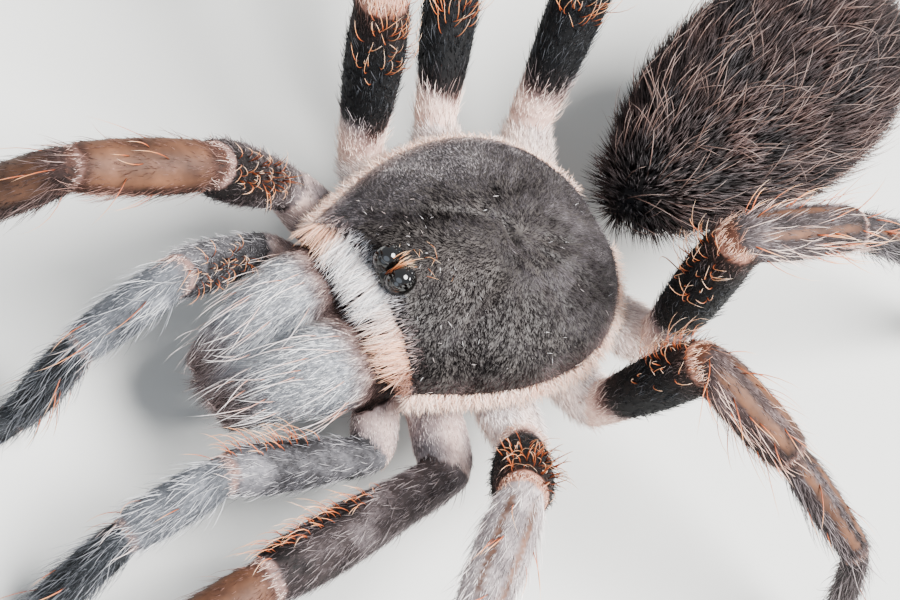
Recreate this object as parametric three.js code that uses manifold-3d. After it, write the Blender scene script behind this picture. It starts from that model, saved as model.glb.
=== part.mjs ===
// A tarantula at life size, standing, in millimetres. It faces -Y, its left side is +X and +Z is up.
// Every solid is drawn out to the tips of the coat; the hairs themselves are no part of this model.
import * as THREE from 'three';
import { mergeVertices } from 'three/addons/utils/BufferGeometryUtils.js';
import Module from 'manifold-3d';

const wasm = await Module();
wasm.setup();

// ---- driving dimensions: millimetres and degrees ----
const CARAPACE = {
  from: -9.8, length: 20.8, width: 20.3, rim: 13, rise: 4.1, thick: 1.0, front: 0.72, widest: 0.51,
};
const ABDOMEN = { root: [0, 12.6, 12.3], length: 29.5, radius: 9.5, flat: 0.88, yaw: -12, pitch: 10 };
const CHELICERA = { base: [3.4, -10.2, 11.5], tip: [1.9, -20.8, 7.8], half: 3.45, tall: 3.9 };
const FANG = { root: [2.0, -18.8, 6.3], length: 6.2, radius: 0.75 };
const BREAST = 6.2;            // height of the underside between the hips
const EYE_MOUND = { at: [0, -8.5], width: 4.0, length: 2.6, rise: 2.0, lobe: 1.08 };
const SPINNERET = { length: 7.5, radius: 1.15, spread: 1.9, splay: 9 };
const ANKLE = 0.86;           // height of a foot's axis at its ankle, as a share of its girth
const TOE = 0.46;             // the same at its tip
const GAP = 0.3;              // clear space between two neighbouring solids
const SMALL_GAP = 0.05;       // the same round the eyes
const SIDES = 10;             // corners of a limb's section
const EYE_SINK = 0.5;         // depth of an eye's middle under the mound's surface, as a share of its radius
const ABDOMEN_WIDEST = 0.58;  // where the abdomen is widest, as a share of its length
const ABDOMEN_ARCH = 0.12;    // how far its middle rises with its radius
const SPINNERET_DROP = -1.2;  // the spinnerets sit below the abdomen's axis
const CHELICERA_BOW = 1.5;    // rise of a jaw's middle above the line from base to tip
const CHELICERA_LEAN = 0.75;  // radians by which its end turns down

// hip: the place of the left hip, mirrored for the right. lengths: femur with trochanter, patella,
// tibia, then metatarsus and tarsus, or the tarsus alone on a palp. girth: radius of the patella.
const LIMBS = {
  palp: { hip: [8.9, -12.1, 7.9], lengths: [12.3, 8.2, 9.4, 8.4], girth: 2.05, slim: 0.95 },
  leg1: { hip: [12.5, -7.8, 8.4], lengths: [17.2, 10.8, 12.8, 12.3, 8.6], girth: 2.35, slim: 1.0 },
  leg2: { hip: [12.6, -1.6, 8.8], lengths: [15.4, 10.0, 10.8, 11.6, 8.4], girth: 2.35, slim: 0.94 },
  leg3: { hip: [12.4, 4.8, 9.4], lengths: [13.3, 9.2, 9.3, 13.2, 8.1], girth: 2.25, slim: 0.82 },
  leg4: { hip: [9.8, 11.6, 9.6], lengths: [16.9, 10.4, 12.9, 18.1, 9.2], girth: 2.3, slim: 0.82 },
};

// turn: how far femur, patella and the rest point outward from straight ahead.
// rise: how far femur, patella and tibia climb above level; the foot follows from its height.
const STANCE = {
  left: {
    palp: { turn: [-10, 7, 7], rise: [11, -10] },
    leg1: { turn: [8, 11, 11], rise: [3, 0, -7] },
    leg2: { turn: [40, 41, 41], rise: [47, 1, -42] },
    leg3: { turn: [125, 117, 113], rise: [70, -20, -28] },
    leg4: { turn: [166, 169, 169], rise: [88, -10, -36] },
  },
  right: {
    palp: { turn: [-13, -6, -4], rise: [34, -32] },
    leg1: { turn: [-9, 13, 33], rise: [50, 12, -51] },
    leg2: { turn: [97, 95, 95], rise: [70, -15, -44] },
    leg3: { turn: [115, 115, 115], rise: [44, 2, -32] },
    leg4: { turn: [131, 131, 131], rise: [61, -3, -34] },
  },
};

// Places of the left eyes from the middle of their mound, and their radii.
const EYES = [
  { name: 'eye_front_middle', at: [0.96, -0.3], radius: 0.5 },
  { name: 'eye_front_side', at: [1.4, -0.84], radius: 0.42 },
  { name: 'eye_rear_side', at: [1.54, 0.2], radius: 0.4 },
  { name: 'eye_rear_middle', at: [0.94, 0.74], radius: 0.34 },
];

const SIDE_NAMES = ['left', 'right'];
const SIDE_SIGNS = [1, -1];
const LEG_JOINTS = ['femur', 'patella', 'tibia', 'foot'];
const PALP_JOINTS = ['femur', 'patella', 'tibia', 'tarsus'];
const PLACES = [0, 0.22, 0.5, 0.78, 1];

// Radius along each joint as shares of the girth, from its near end to its far end.
const PROFILES = {
  coxa: [0.8, 0.95, 1.04, 0.93],
  femur: [0.95, 0.92, 1.04, 1.12, 1.12, 1.0],
  patella: [0.96, 1.05, 1.04, 0.92],
  tibia: [0.92, 1.0, 0.97, 0.86],
  metatarsus: [0.78, 0.76, 0.74, 0.74],
  tarsus: [0.74, 0.82, 0.84, 0.76, 0.42],
};

const COLOURS = {
  carapace: 0x4a4542, underbody: 0xb9a298, abdomen: 0x2e2623, chelicera: 0x8d8781, fang: 0x120d0b,
  eye: 0x060606, mound: 0x1c1715, spinneret: 0x4a3c34, limb: 0x7c6a5c, femur: 0x2f2926,
};

const radians = THREE.MathUtils.degToRad;
const vector = (list) => new THREE.Vector3(...list);
const mirrored = (list, side) => new THREE.Vector3(list[0] * side, list[1], list[2]);
const UP = new THREE.Vector3(0, 0, 1);
const tarantula = new THREE.Group();

function addPart(name, geometry, colour, roughness = 0.8) {
  const material = new THREE.MeshStandardMaterial({ color: colour, roughness, metalness: 0 });
  const mesh = new THREE.Mesh(geometry, material);
  mesh.name = name;
  tarantula.add(mesh);
}

// ---- general shapes ----

function signedVolume(points, faces) {
  let volume = 0;
  for (let i = 0; i < faces.length; i += 3) {
    const [a, b, c] = [points[faces[i]], points[faces[i + 1]], points[faces[i + 2]]];
    volume += a.dot(new THREE.Vector3().crossVectors(b, c)) / 6;
  }
  return volume;
}

function closedGeometry(points, faces) {
  const outward = signedVolume(points, faces) > 0;
  const index = [];
  for (let i = 0; i < faces.length; i += 3) {
    const turned = outward ? [0, 1, 2] : [0, 2, 1];
    turned.forEach((k) => index.push(faces[i + k]));
  }
  const geometry = new THREE.BufferGeometry();
  geometry.setAttribute('position', new THREE.Float32BufferAttribute(points.flatMap((p) => p.toArray()), 3));
  geometry.setIndex(index);
  return geometry;
}

// A closed skin over rings of the same number of points, capped at both ends.
function loft(rings) {
  const sides = rings[0].length;
  const points = rings.flat();
  const faces = [];
  for (let r = 0; r < rings.length - 1; r += 1) {
    for (let i = 0; i < sides; i += 1) {
      const a = r * sides + i;
      const b = r * sides + ((i + 1) % sides);
      faces.push(a, b, b + sides, a, b + sides, a + sides);
    }
  }
  [0, rings.length - 1].forEach((r) => {
    const middle = new THREE.Vector3();
    rings[r].forEach((p) => middle.addScaledVector(p, 1 / sides));
    const hub = points.push(middle) - 1;
    for (let i = 0; i < sides; i += 1) {
      const a = r * sides + i;
      const b = r * sides + ((i + 1) % sides);
      faces.push(...(r === 0 ? [hub, b, a] : [hub, a, b]));
    }
  });
  return closedGeometry(points, faces);
}

function ellipseRing(centre, across, upward, halfWidth, halfHeight, sides) {
  return Array.from({ length: sides }, (_, i) => {
    const angle = (2 * Math.PI * i) / sides;
    return centre.clone()
      .addScaledVector(across, halfWidth * Math.cos(angle))
      .addScaledVector(upward, halfHeight * Math.sin(angle));
  });
}

function toSolid(geometry) {
  const bare = new THREE.BufferGeometry();
  bare.setAttribute('position', geometry.getAttribute('position').clone());
  bare.setIndex(geometry.getIndex());
  const merged = mergeVertices(bare, 1e-4);
  const vertProperties = new Float32Array(merged.getAttribute('position').array);
  const triVerts = new Uint32Array(merged.getIndex().array);
  return new wasm.Manifold(new wasm.Mesh({ numProp: 3, vertProperties, triVerts }));
}

function fromSolid(solid) {
  const mesh = solid.getMesh();
  const geometry = new THREE.BufferGeometry();
  geometry.setAttribute('position', new THREE.Float32BufferAttribute(mesh.vertProperties, 3));
  geometry.setIndex(Array.from(mesh.triVerts));
  return geometry;
}

function boxSolid(low, high) {
  const size = vector(high).sub(vector(low));
  const geometry = new THREE.BoxGeometry(size.x, size.y, size.z);
  const middle = vector(low).add(vector(high)).multiplyScalar(0.5);
  geometry.translate(middle.x, middle.y, middle.z);
  return toSolid(geometry);
}

// ---- carapace ----

// Half the carapace's width at a share of its length, 0 at the front edge and 1 at the rear.
function carapaceHalf(share) {
  const { width, front, widest } = CARAPACE;
  if (share > widest) {
    return (width / 2) * Math.sqrt(Math.max(0, 1 - ((share - widest) / (1 - widest)) ** 2.3));
  }
  return (width / 2) * (front + (1 - front) * Math.sin((share / widest) * (Math.PI / 2)) ** 1.1);
}

// Height of the carapace's crest above its rim: a raised head, a dip at the middle, a falling rear.
function crest(share) {
  const stops = [
    [0, 1.0], [0.05, 1.05], [0.15, 1.08], [0.3, 1.02], [0.45, 0.93], [0.6, 0.83], [0.82, 0.59], [1, 0.0],
  ];
  const next = stops.findIndex((stop) => stop[0] >= share);
  const [x1, y1] = stops[Math.max(next, 1)];
  const [x0, y0] = stops[Math.max(next, 1) - 1];
  return CARAPACE.rise * (y0 + ((y1 - y0) * (share - x0)) / (x1 - x0));
}

function carapaceGeometry() {
  const rows = 14;
  const columns = 14;
  const { from, length, rim, thick } = CARAPACE;
  const rings = [];
  for (let r = 0; r <= rows; r += 1) {
    const share = 0.985 * Math.sin((r / rows) * (Math.PI / 2)) ** 1.15;
    const y = from + length * share;
    const half = carapaceHalf(share);
    const ring = [];
    for (let c = 0; c <= columns; c += 1) {
      const across = -Math.cos((c / columns) * Math.PI);
      const bulge = Math.max(0, 1 - Math.abs(across) ** 2.4) ** 0.8;
      ring.push(new THREE.Vector3(half * across, y, rim + crest(share) * bulge));
    }
    ring.push(new THREE.Vector3(half * 0.97, y, rim - thick));
    ring.push(new THREE.Vector3(-half * 0.97, y, rim - thick));
    rings.push(ring);
  }
  return loft(rings);
}

// ---- eyes ----

const moundRear = EYE_MOUND.at[1] + EYE_MOUND.length / 2;
const moundBase = CARAPACE.rim + crest((moundRear - CARAPACE.from) / CARAPACE.length);

const lobeOut = EYE_MOUND.width / 2 - EYE_MOUND.lobe;

// Height of the surface of the mound's two lobes at a point beside its middle.
function moundHeight(x, y) {
  const beside = (Math.abs(x) - lobeOut) / EYE_MOUND.lobe;
  const inside = 1 - beside ** 2 - (y / (EYE_MOUND.length / 2)) ** 2;
  return moundBase + EYE_MOUND.rise * Math.sqrt(Math.max(0, inside));
}

function eyeCentre(eye, side) {
  const [x, y] = eye.at;
  return new THREE.Vector3(x * side, EYE_MOUND.at[1] + y, moundHeight(x, y) - eye.radius * EYE_SINK);
}

function eyeGeometry(eye, side, extra = 0) {
  const geometry = new THREE.SphereGeometry(eye.radius + extra, 8, 6);
  const centre = eyeCentre(eye, side);
  geometry.rotateX(Math.PI / 2);
  geometry.translate(centre.x, centre.y, centre.z);
  return geometry;
}

function lobeSolid(side) {
  const dome = new THREE.SphereGeometry(1, 10, 6);
  dome.rotateX(Math.PI / 2);
  dome.scale(EYE_MOUND.lobe, EYE_MOUND.length / 2, EYE_MOUND.rise);
  dome.translate(side * lobeOut, EYE_MOUND.at[1], moundBase);
  return toSolid(dome);
}

function moundGeometry() {
  const above = boxSolid([-5, -15, moundBase + SMALL_GAP], [5, 0, moundBase + 5]);
  let solid = lobeSolid(1).add(lobeSolid(-1)).intersect(above);
  EYES.forEach((eye) => SIDE_SIGNS.forEach((side) => {
    solid = solid.subtract(toSolid(eyeGeometry(eye, side, SMALL_GAP)));
  }));
  return fromSolid(solid);
}

// ---- limbs ----

function direction(turn, rise, side) {
  const [a, e] = [radians(turn), radians(rise)];
  return new THREE.Vector3(side * Math.sin(a) * Math.cos(e), -Math.cos(a) * Math.cos(e), Math.sin(e));
}

// The joints of a limb from the coxa's root to the tip of the foot. The last joint lies on the floor,
// so the one before it slopes by whatever brings it down to the ankle's height.
function limbJoints(kind, sideName) {
  const side = SIDE_SIGNS[SIDE_NAMES.indexOf(sideName)];
  const { hip, lengths, girth, slim } = LIMBS[kind];
  const { turn, rise } = STANCE[sideName][kind];
  const joints = [mirrored([hip[0] * 0.36, hip[1] * 0.7, hip[2] - 0.2], side), mirrored(hip, side)];
  lengths.forEach((length, k) => {
    const from = joints[joints.length - 1];
    const goal = (k === lengths.length - 1 ? TOE : ANKLE) * girth * slim;
    const fall = THREE.MathUtils.radToDeg(Math.asin((goal - from.z) / length));
    const slope = k < lengths.length - 2 ? rise[k] : fall;
    const heading = turn[Math.min(k, turn.length - 1)];
    joints.push(from.clone().addScaledVector(direction(heading, slope, side), length));
  });
  return joints;
}

const acrossOf = (along) => new THREE.Vector3().crossVectors(along, UP).normalize();

// The plane in which two neighbouring joints of a limb meet, halfway round their bend.
function jointFrame(joints, k) {
  const ahead = k < joints.length - 1 ? joints[k + 1].clone().sub(joints[k]).normalize() : null;
  const behind = k > 0 ? joints[k].clone().sub(joints[k - 1]).normalize() : ahead;
  const [first, second] = [behind, ahead ?? behind];
  const normal = first.clone().add(second).normalize();
  const across = acrossOf(first).add(acrossOf(second)).normalize();
  across.addScaledVector(normal, -across.dot(normal)).normalize();
  return { normal, across, stretch: 1 / Math.sqrt(normal.dot(second)) };
}

// Share of the way from a joint's own section to the plane of the bend, at a place along the joint.
function bendShare(place) {
  const near = Math.max(0, 1 - Math.min(place, 1 - place) / 0.38);
  return near * near * (3 - 2 * near);
}

function profileAt(profile, place) {
  const step = place * (profile.length - 1);
  const k = Math.min(Math.floor(step), profile.length - 2);
  return profile[k] + (profile[k + 1] - profile[k]) * (step - k);
}

// Rings of one joint of a limb from bend to bend, flattened where they meet the floor.
function jointRings(joints, k, profile, girth) {
  const [start, end] = [joints[k], joints[k + 1]];
  const along = end.clone().sub(start).normalize();
  const frames = [jointFrame(joints, k), jointFrame(joints, k + 1)];
  const own = acrossOf(along);
  return PLACES.map((place) => {
    const frame = frames[place < 0.5 ? 0 : 1];
    const share = bendShare(place);
    const normal = along.clone().lerp(frame.normal, share).normalize();
    const across = own.clone().lerp(frame.across, share);
    across.addScaledVector(normal, -across.dot(normal)).normalize();
    const upward = new THREE.Vector3().crossVectors(across, normal);
    const radius = profileAt(profile, place) * girth;
    const tall = radius * (1 + (frame.stretch - 1) * share);
    const ring = ellipseRing(start.clone().lerp(end, place), across, upward, radius, tall, SIDES);
    ring.forEach((point) => point.setZ(Math.max(point.z, 0)));
    return ring;
  });
}

// Moves a ring along a joint's axis, so that two neighbours stay half a gap short of their bend.
function shortened(rings, joints, first, last) {
  const step = (k, sign) => jointFrame(joints, k).normal.multiplyScalar((sign * GAP) / 2);
  rings[0].forEach((point) => point.add(step(first, 1)));
  if (last < joints.length - 1) rings[rings.length - 1].forEach((point) => point.add(step(last, -1)));
  return rings;
}

function jointGeometry(joints, k, profile, girth) {
  return loft(shortened(jointRings(joints, k, profile, girth), joints, k, k + 1));
}

// Metatarsus and tarsus are one piece, bent at the ankle.
function footGeometry(joints, k, girth) {
  const upper = jointRings(joints, k, PROFILES.metatarsus, girth);
  const lower = jointRings(joints, k + 1, PROFILES.tarsus, girth);
  return loft(shortened([...upper, ...lower.slice(1)], joints, k, k + 2));
}

function addLimb(kind, sideName) {
  const joints = limbJoints(kind, sideName);
  const { girth, slim } = LIMBS[kind];
  const names = kind === 'palp' ? PALP_JOINTS : LEG_JOINTS;
  names.forEach((name, i) => {
    const thick = girth * (i > 1 ? slim : 1);
    const isFoot = name === 'foot';
    const shape = isFoot
      ? footGeometry(joints, i + 1, thick)
      : jointGeometry(joints, i + 1, PROFILES[name], thick);
    addPart(`${kind}_${sideName}_${name}`, shape, name === 'femur' ? COLOURS.femur : COLOURS.limb);
  });
}

// ---- body ----

// Rings of the carapace's outline, shrunk, from just under the rim down to the hips.
function flankGeometry() {
  const levels = [[CARAPACE.rim - CARAPACE.thick - GAP, 0.93], [10.2, 0.9], [8.2, 0.74], [BREAST, 0.46]];
  const count = 28;
  const rings = levels.map(([z, share]) => Array.from({ length: count }, (_, i) => {
    const angle = (2 * Math.PI * (i + 0.5)) / count;
    const along = (1 - Math.cos(angle)) / 2;
    const side = Math.sin(angle) >= 0 ? 1 : -1;
    const y = CARAPACE.from + CARAPACE.length * (0.5 + (along - 0.5) * (share + 0.02));
    return new THREE.Vector3(side * carapaceHalf(along * 0.985) * share, y, z);
  }));
  return loft(rings);
}

function underbodyGeometry() {
  let solid = toSolid(flankGeometry());
  Object.keys(LIMBS).forEach((kind) => SIDE_NAMES.forEach((sideName) => {
    const coxa = jointGeometry(limbJoints(kind, sideName), 0, PROFILES.coxa, LIMBS[kind].girth);
    solid = solid.add(toSolid(coxa));
  }));
  const roof = CARAPACE.rim - CARAPACE.thick - GAP;
  const edge = CARAPACE.from;
  const jaws = CHELICERA.base[0] + CHELICERA.half + GAP;
  solid = solid.subtract(boxSolid([-30, -40, roof], [30, 40, roof + 20]));
  solid = solid.subtract(boxSolid([-jaws, edge - 20, 0], [jaws, edge - 0.05, 30]));
  return fromSolid(solid);
}

function abdomenFrame() {
  const along = direction(180 - ABDOMEN.yaw, ABDOMEN.pitch, 1);
  const across = acrossOf(along);
  return { along, across, upward: new THREE.Vector3().crossVectors(across, along) };
}

// An egg on its side, widest behind the middle, on a short stalk.
function abdomenRadius(place) {
  const behind = place > ABDOMEN_WIDEST;
  const reach = behind ? 1 - ABDOMEN_WIDEST : ABDOMEN_WIDEST;
  const away = Math.abs(place - ABDOMEN_WIDEST) / reach;
  return ABDOMEN.radius * (behind ? (1 - away ** 2.3) ** 0.5 : (1 - away ** 1.9) ** 0.62);
}

function abdomenGeometry() {
  const { along, across, upward } = abdomenFrame();
  const rows = 14;
  const rings = [];
  for (let r = 0; r <= rows; r += 1) {
    const place = 0.02 + 0.972 * (0.5 - 0.5 * Math.cos((Math.PI * r) / rows));
    const radius = abdomenRadius(place);
    const centre = vector(ABDOMEN.root).addScaledVector(along, ABDOMEN.length * place);
    centre.addScaledVector(upward, radius * ABDOMEN_ARCH);
    rings.push(ellipseRing(centre, across, upward, radius, radius * ABDOMEN.flat, 20));
  }
  return loft(rings);
}

function spinneretGeometry(side) {
  const { along, across, upward } = abdomenFrame();
  const { length, radius, spread, splay } = SPINNERET;
  const start = vector(ABDOMEN.root).addScaledVector(along, ABDOMEN.length * 0.99 + GAP);
  start.addScaledVector(across, -side * spread).addScaledVector(upward, SPINNERET_DROP);
  const heading = along.clone().applyAxisAngle(upward, side * radians(splay));
  const sideways = new THREE.Vector3().crossVectors(heading, upward).normalize();
  const shares = [0.8, 1, 0.86, 0.9, 0.66, 0.3];
  return loft(shares.map((share, i) => {
    const centre = start.clone().addScaledVector(heading, (length * i) / (shares.length - 1));
    return ellipseRing(centre, sideways, upward, radius * share, radius * share, 8);
  }));
}

// ---- jaws ----

function cheliceraGeometry(side) {
  const { base, tip, half, tall } = CHELICERA;
  const widths = [0.96, 0.98, 0.92, 0.82, 0.7, 0.46];
  const heights = [0.84, 0.98, 1.0, 0.9, 0.7, 0.42];
  const [from, to] = [mirrored(base, side), mirrored(tip, side)];
  const bow = new THREE.Vector3(0, 0, CHELICERA_BOW);
  return loft(widths.map((width, i) => {
    const place = i / (widths.length - 1);
    const centre = from.clone().lerp(to, place).addScaledVector(bow, Math.sin(Math.PI * place));
    const sideways = new THREE.Vector3(1, 0, 0);
    const lean = new THREE.Vector3(0, -1, 0).applyAxisAngle(sideways, place * CHELICERA_LEAN);
    const upward = new THREE.Vector3().crossVectors(new THREE.Vector3(-1, 0, 0), lean);
    const ring = ellipseRing(centre, new THREE.Vector3(1, 0, 0), upward, half * width, tall * heights[i], 16);
    ring.forEach((point) => point.setX(side * Math.max(side * point.x, GAP / 2)));
    return ring;
  }));
}

// A hook that leaves the jaw's end downward and folds back under it.
function fangGeometry(side) {
  const { root, length, radius } = FANG;
  const steps = 6;
  const rings = [];
  for (let i = 0; i <= steps; i += 1) {
    const angle = (i / steps) * (Math.PI / 2);
    const centre = mirrored(root, side);
    centre.y += (1 - Math.cos(angle)) * length * 0.72;
    centre.z -= Math.sin(angle) * length * 0.38;
    const along = new THREE.Vector3(0, Math.sin(angle), -Math.cos(angle));
    const across = new THREE.Vector3(1, 0, 0);
    const thick = radius * (1 - 0.86 * (i / steps));
    rings.push(ellipseRing(centre, across, new THREE.Vector3().crossVectors(across, along), thick, thick, 8));
  }
  return loft(rings);
}

// ---- the whole animal ----

addPart('carapace', carapaceGeometry(), COLOURS.carapace, 0.6);
addPart('underbody', underbodyGeometry(), COLOURS.underbody);
addPart('abdomen', abdomenGeometry(), COLOURS.abdomen);
addPart('eye_mound', moundGeometry(), COLOURS.mound, 0.3);
SIDE_NAMES.forEach((sideName, i) => {
  const side = SIDE_SIGNS[i];
  EYES.forEach((eye) => addPart(`${eye.name}_${sideName}`, eyeGeometry(eye, side), COLOURS.eye, 0.1));
  addPart(`chelicera_${sideName}`, cheliceraGeometry(side), COLOURS.chelicera);
  addPart(`fang_${sideName}`, fangGeometry(side), COLOURS.fang, 0.25);
  addPart(`spinneret_${sideName}`, spinneretGeometry(side), COLOURS.spinneret);
  Object.keys(LIMBS).forEach((kind) => addLimb(kind, sideName));
});

// The origin is the middle of the footprint, on the floor.
const bounds = new THREE.Box3().setFromObject(tarantula);
const middle = bounds.getCenter(new THREE.Vector3());
tarantula.position.set(-middle.x, -middle.y, -bounds.min.z);

export default tarantula;
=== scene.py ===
"""A tarantula at life size, standing still: skin, shell, eyes, fangs and the coat of hairs.

Lengths in the tables are millimetres in the animal's own frame: it faces -Y, its left is +X, +Z is up.
"""

import math

import bpy
import numpy as np
from bpy.props import FloatProperty, FloatVectorProperty, PointerProperty
from bpy.types import Operator
from mathutils import Matrix, Vector


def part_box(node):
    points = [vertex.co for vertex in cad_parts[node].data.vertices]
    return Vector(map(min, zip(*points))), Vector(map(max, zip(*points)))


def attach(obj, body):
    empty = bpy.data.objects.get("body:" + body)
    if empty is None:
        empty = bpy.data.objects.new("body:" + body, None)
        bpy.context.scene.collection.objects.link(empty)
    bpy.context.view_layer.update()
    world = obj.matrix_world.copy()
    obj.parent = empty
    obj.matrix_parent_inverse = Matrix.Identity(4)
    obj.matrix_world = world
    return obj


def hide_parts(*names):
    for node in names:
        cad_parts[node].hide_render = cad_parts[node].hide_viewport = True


bl_info = {
    "name": "Tarantula",
    "version": (1, 0, 0),
    "blender": (4, 5, 0),
    "location": "View3D > Sidebar > Tarantula",
    "description": "Models the skin, shell, eyes and coat of a life-size tarantula over its fixed frame",
    "category": "Object",
}

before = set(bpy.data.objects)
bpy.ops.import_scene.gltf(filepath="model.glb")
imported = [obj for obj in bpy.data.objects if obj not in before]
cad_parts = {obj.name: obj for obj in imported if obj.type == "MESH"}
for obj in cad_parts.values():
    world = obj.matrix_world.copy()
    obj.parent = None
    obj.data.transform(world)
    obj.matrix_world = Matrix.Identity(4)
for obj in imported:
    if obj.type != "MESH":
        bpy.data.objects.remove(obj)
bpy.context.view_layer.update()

MM = 0.001
SEED = 1807

# ---- the animal's proportions, in millimetres and degrees ----
CARAPACE = {
    "from": -9.8, "length": 20.8, "width": 20.3, "rim": 13.0, "rise": 4.1, "thick": 1.0, "front": 0.72,
    "widest": 0.51, "end": 0.985,
}
# The crest's height along the shell, as shares of its length and of its rise.
CREST = ((0, 1.0), (0.05, 1.05), (0.15, 1.08), (0.3, 1.02), (0.45, 0.93), (0.6, 0.83), (0.82, 0.59), (1, 0.0))
RAY_ANGLES = (-0.38, 0.12, 0.62, 1.12)
FOVEA_Y = 2.4
ABDOMEN = {
    "root": (0, 12.6, 12.3), "length": 29.5, "radius": 9.5, "flat": 0.88, "yaw": -12, "pitch": 10,
    "widest": 0.58, "arch": 0.12,
}
CHELICERA = {"base": (3.4, -10.2, 11.5), "tip": (1.9, -20.8, 7.8), "half": 3.45, "tall": 3.9, "bow": 1.5}
JAW_NECK = -11.4
FANG = {"root": (2.0, -18.8, 6.3), "length": 6.2, "radius": 0.75}
EYE_MOUND = {"at": (0, -8.5), "width": 4.0, "length": 2.6, "rise": 2.0, "lobe": 1.08}
LOBE_OUT = EYE_MOUND["width"] / 2 - EYE_MOUND["lobe"]
LOBE_LIFT = EYE_MOUND["rise"] * 0.4
LOBE = np.array((EYE_MOUND["lobe"] * 0.94, EYE_MOUND["length"] * 0.46, EYE_MOUND["rise"] * 0.6))
FOOT = np.array((EYE_MOUND["width"] * 0.46, EYE_MOUND["length"] * 0.46, EYE_MOUND["rise"] * 0.5))
EYES = (
    ("front_middle", (0.96, -0.3), 0.6),
    ("front_side", (1.4, -0.84), 0.42),
    ("rear_side", (1.54, 0.2), 0.4),
    ("rear_middle", (0.94, 0.74), 0.34),
)
MOUND_GRAIN = 0.05 * MM
EYE_SINK = 0.85
LENS_FLATNESS = 1.42
SPINNERET = {"length": 7.5, "radius": 1.15, "spread": 1.9, "splay": 9, "drop": -1.2}
# Heights of ankles and toes over the floor and sizes of the balls in the joints, as shares of the girth.
ANKLE = 0.86
TOE = 0.46
KNEE_BALL = 0.86
TOE_BALL = 0.95
LIMBS = {
    "palp": {"hip": (8.9, -12.1, 7.9), "lengths": (12.3, 8.2, 9.4, 8.4), "girth": 2.05, "slim": 0.95},
    "leg1": {"hip": (12.5, -7.8, 8.4), "lengths": (17.2, 10.8, 12.8, 12.3, 8.6), "girth": 2.35, "slim": 1.0},
    "leg2": {"hip": (12.6, -1.6, 8.8), "lengths": (15.4, 10.0, 10.8, 11.6, 8.4), "girth": 2.35, "slim": 0.94},
    "leg3": {"hip": (12.4, 4.8, 9.4), "lengths": (13.3, 9.2, 9.3, 13.2, 8.1), "girth": 2.25, "slim": 0.82},
    "leg4": {"hip": (9.8, 11.6, 9.6), "lengths": (16.9, 10.4, 12.9, 18.1, 9.2), "girth": 2.3, "slim": 0.82},
}
# How far femur, patella and the rest are turned from straight ahead, and how steeply they rise.
STANCE = {
    "left": {
        "palp": {"turn": (-10, 7, 7), "rise": (11, -10)},
        "leg1": {"turn": (8, 11, 11), "rise": (3, 0, -7)},
        "leg2": {"turn": (40, 41, 41), "rise": (47, 1, -42)},
        "leg3": {"turn": (125, 117, 113), "rise": (70, -20, -28)},
        "leg4": {"turn": (166, 169, 169), "rise": (88, -10, -36)},
    },
    "right": {
        "palp": {"turn": (-13, -6, -4), "rise": (34, -32)},
        "leg1": {"turn": (-9, 13, 33), "rise": (50, 12, -51)},
        "leg2": {"turn": (97, 95, 95), "rise": (70, -15, -44)},
        "leg3": {"turn": (115, 115, 115), "rise": (44, 2, -32)},
        "leg4": {"turn": (131, 131, 131), "rise": (61, -3, -34)},
    },
}
SIDES = {"left": 1, "right": -1}
FRONT_LIMBS = ("palp", "leg1")
REAR_LEGS = ("leg3", "leg4")
LIMB_PARTS = ("femur", "patella", "tibia", "metatarsus", "tarsus")

# Radius along each joint as shares of the girth, out to the tips of the coat.
PROFILES = {
    "coxa": (0.8, 0.95, 1.04, 0.93),
    "femur": (0.95, 0.92, 1.04, 1.12, 1.12, 1.0),
    "patella": (0.96, 1.05, 1.04, 0.92),
    "tibia": (0.92, 1.0, 0.97, 0.86),
    "metatarsus": (0.78, 0.76, 0.74, 0.74),
    "tarsus": (0.74, 0.82, 0.84, 0.76, 0.42),
}
# How far the skin lies under the tips of the coat.
COAT_DEPTH = {
    "coxa": 0.3, "femur": 0.42, "patella": 0.45, "tibia": 0.45, "metatarsus": 0.42, "tarsus": 0.36,
    "jaw": 0.32, "abdomen": 1.7, "spinneret": 0.35,
}
# How brown the bare tops of each limb are, and how pale its patella and tibia.
BROWN = {"palp": 0.0, "leg1": 1.0, "leg2": 0.3, "leg3": 0.5, "leg4": 0.3}
PATELLA_TONE = {"palp": 0.54, "leg1": 0.28, "leg2": 0.72, "leg3": 0.32, "leg4": 0.36}
TIBIA_TONE = {"palp": 0.32, "leg1": 0.24, "leg2": 0.4, "leg3": 0.32, "leg4": 0.3}
# What the drawn lengths and lifts of the pile and the lengths of the long hairs are multiplied by.
PILE_LENGTH = {"femur": 0.75, "patella": 0.95, "tibia": 1.15, "metatarsus": 1.25, "tarsus": 0.85}
PILE_LIFT = {"femur": 0.3, "patella": 0.3, "tibia": 0.36, "metatarsus": 0.38, "tarsus": 0.4}
HAIR_REACH = {"femur": 1.7, "patella": 2.6, "tibia": 3.2, "metatarsus": 3.0, "tarsus": 1.7}

# A hair's cross-section, three corners sideways and upward, and how it roots, tapers and turns.
CORNERS = np.array(((-1.0, -0.35), (0.0, 0.75), (1.0, -0.35)))
ROOT_DEPTH = 0.06
TAPER = 0.82
ABOVE_FLOOR = 0.03
USUAL_TURN = 0.22
# The coat's unwrap: charts along each side, the part of its chart that a bone's skin takes, a hair's patch.
ATLAS = 8
CHART_EDGE, CHART = 0.06, 0.85
PATCH = 0.003

# Hairs to the square millimetre of the shell's pile, and how many there are of the single ones.
PILE_DENSITY = 110
SPECKS = 170
FRINGE = {"short": 1400, "long": 900, "behind": 700}
RIM_HAIRS = 6000
EYE_BRISTLES = {"between": 24, "trail": 12}

CAMERA = {"azimuth": 32.5, "elevation": 57.7, "roll": 31.7, "aim": (1.83, -3.11, 0)}
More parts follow.
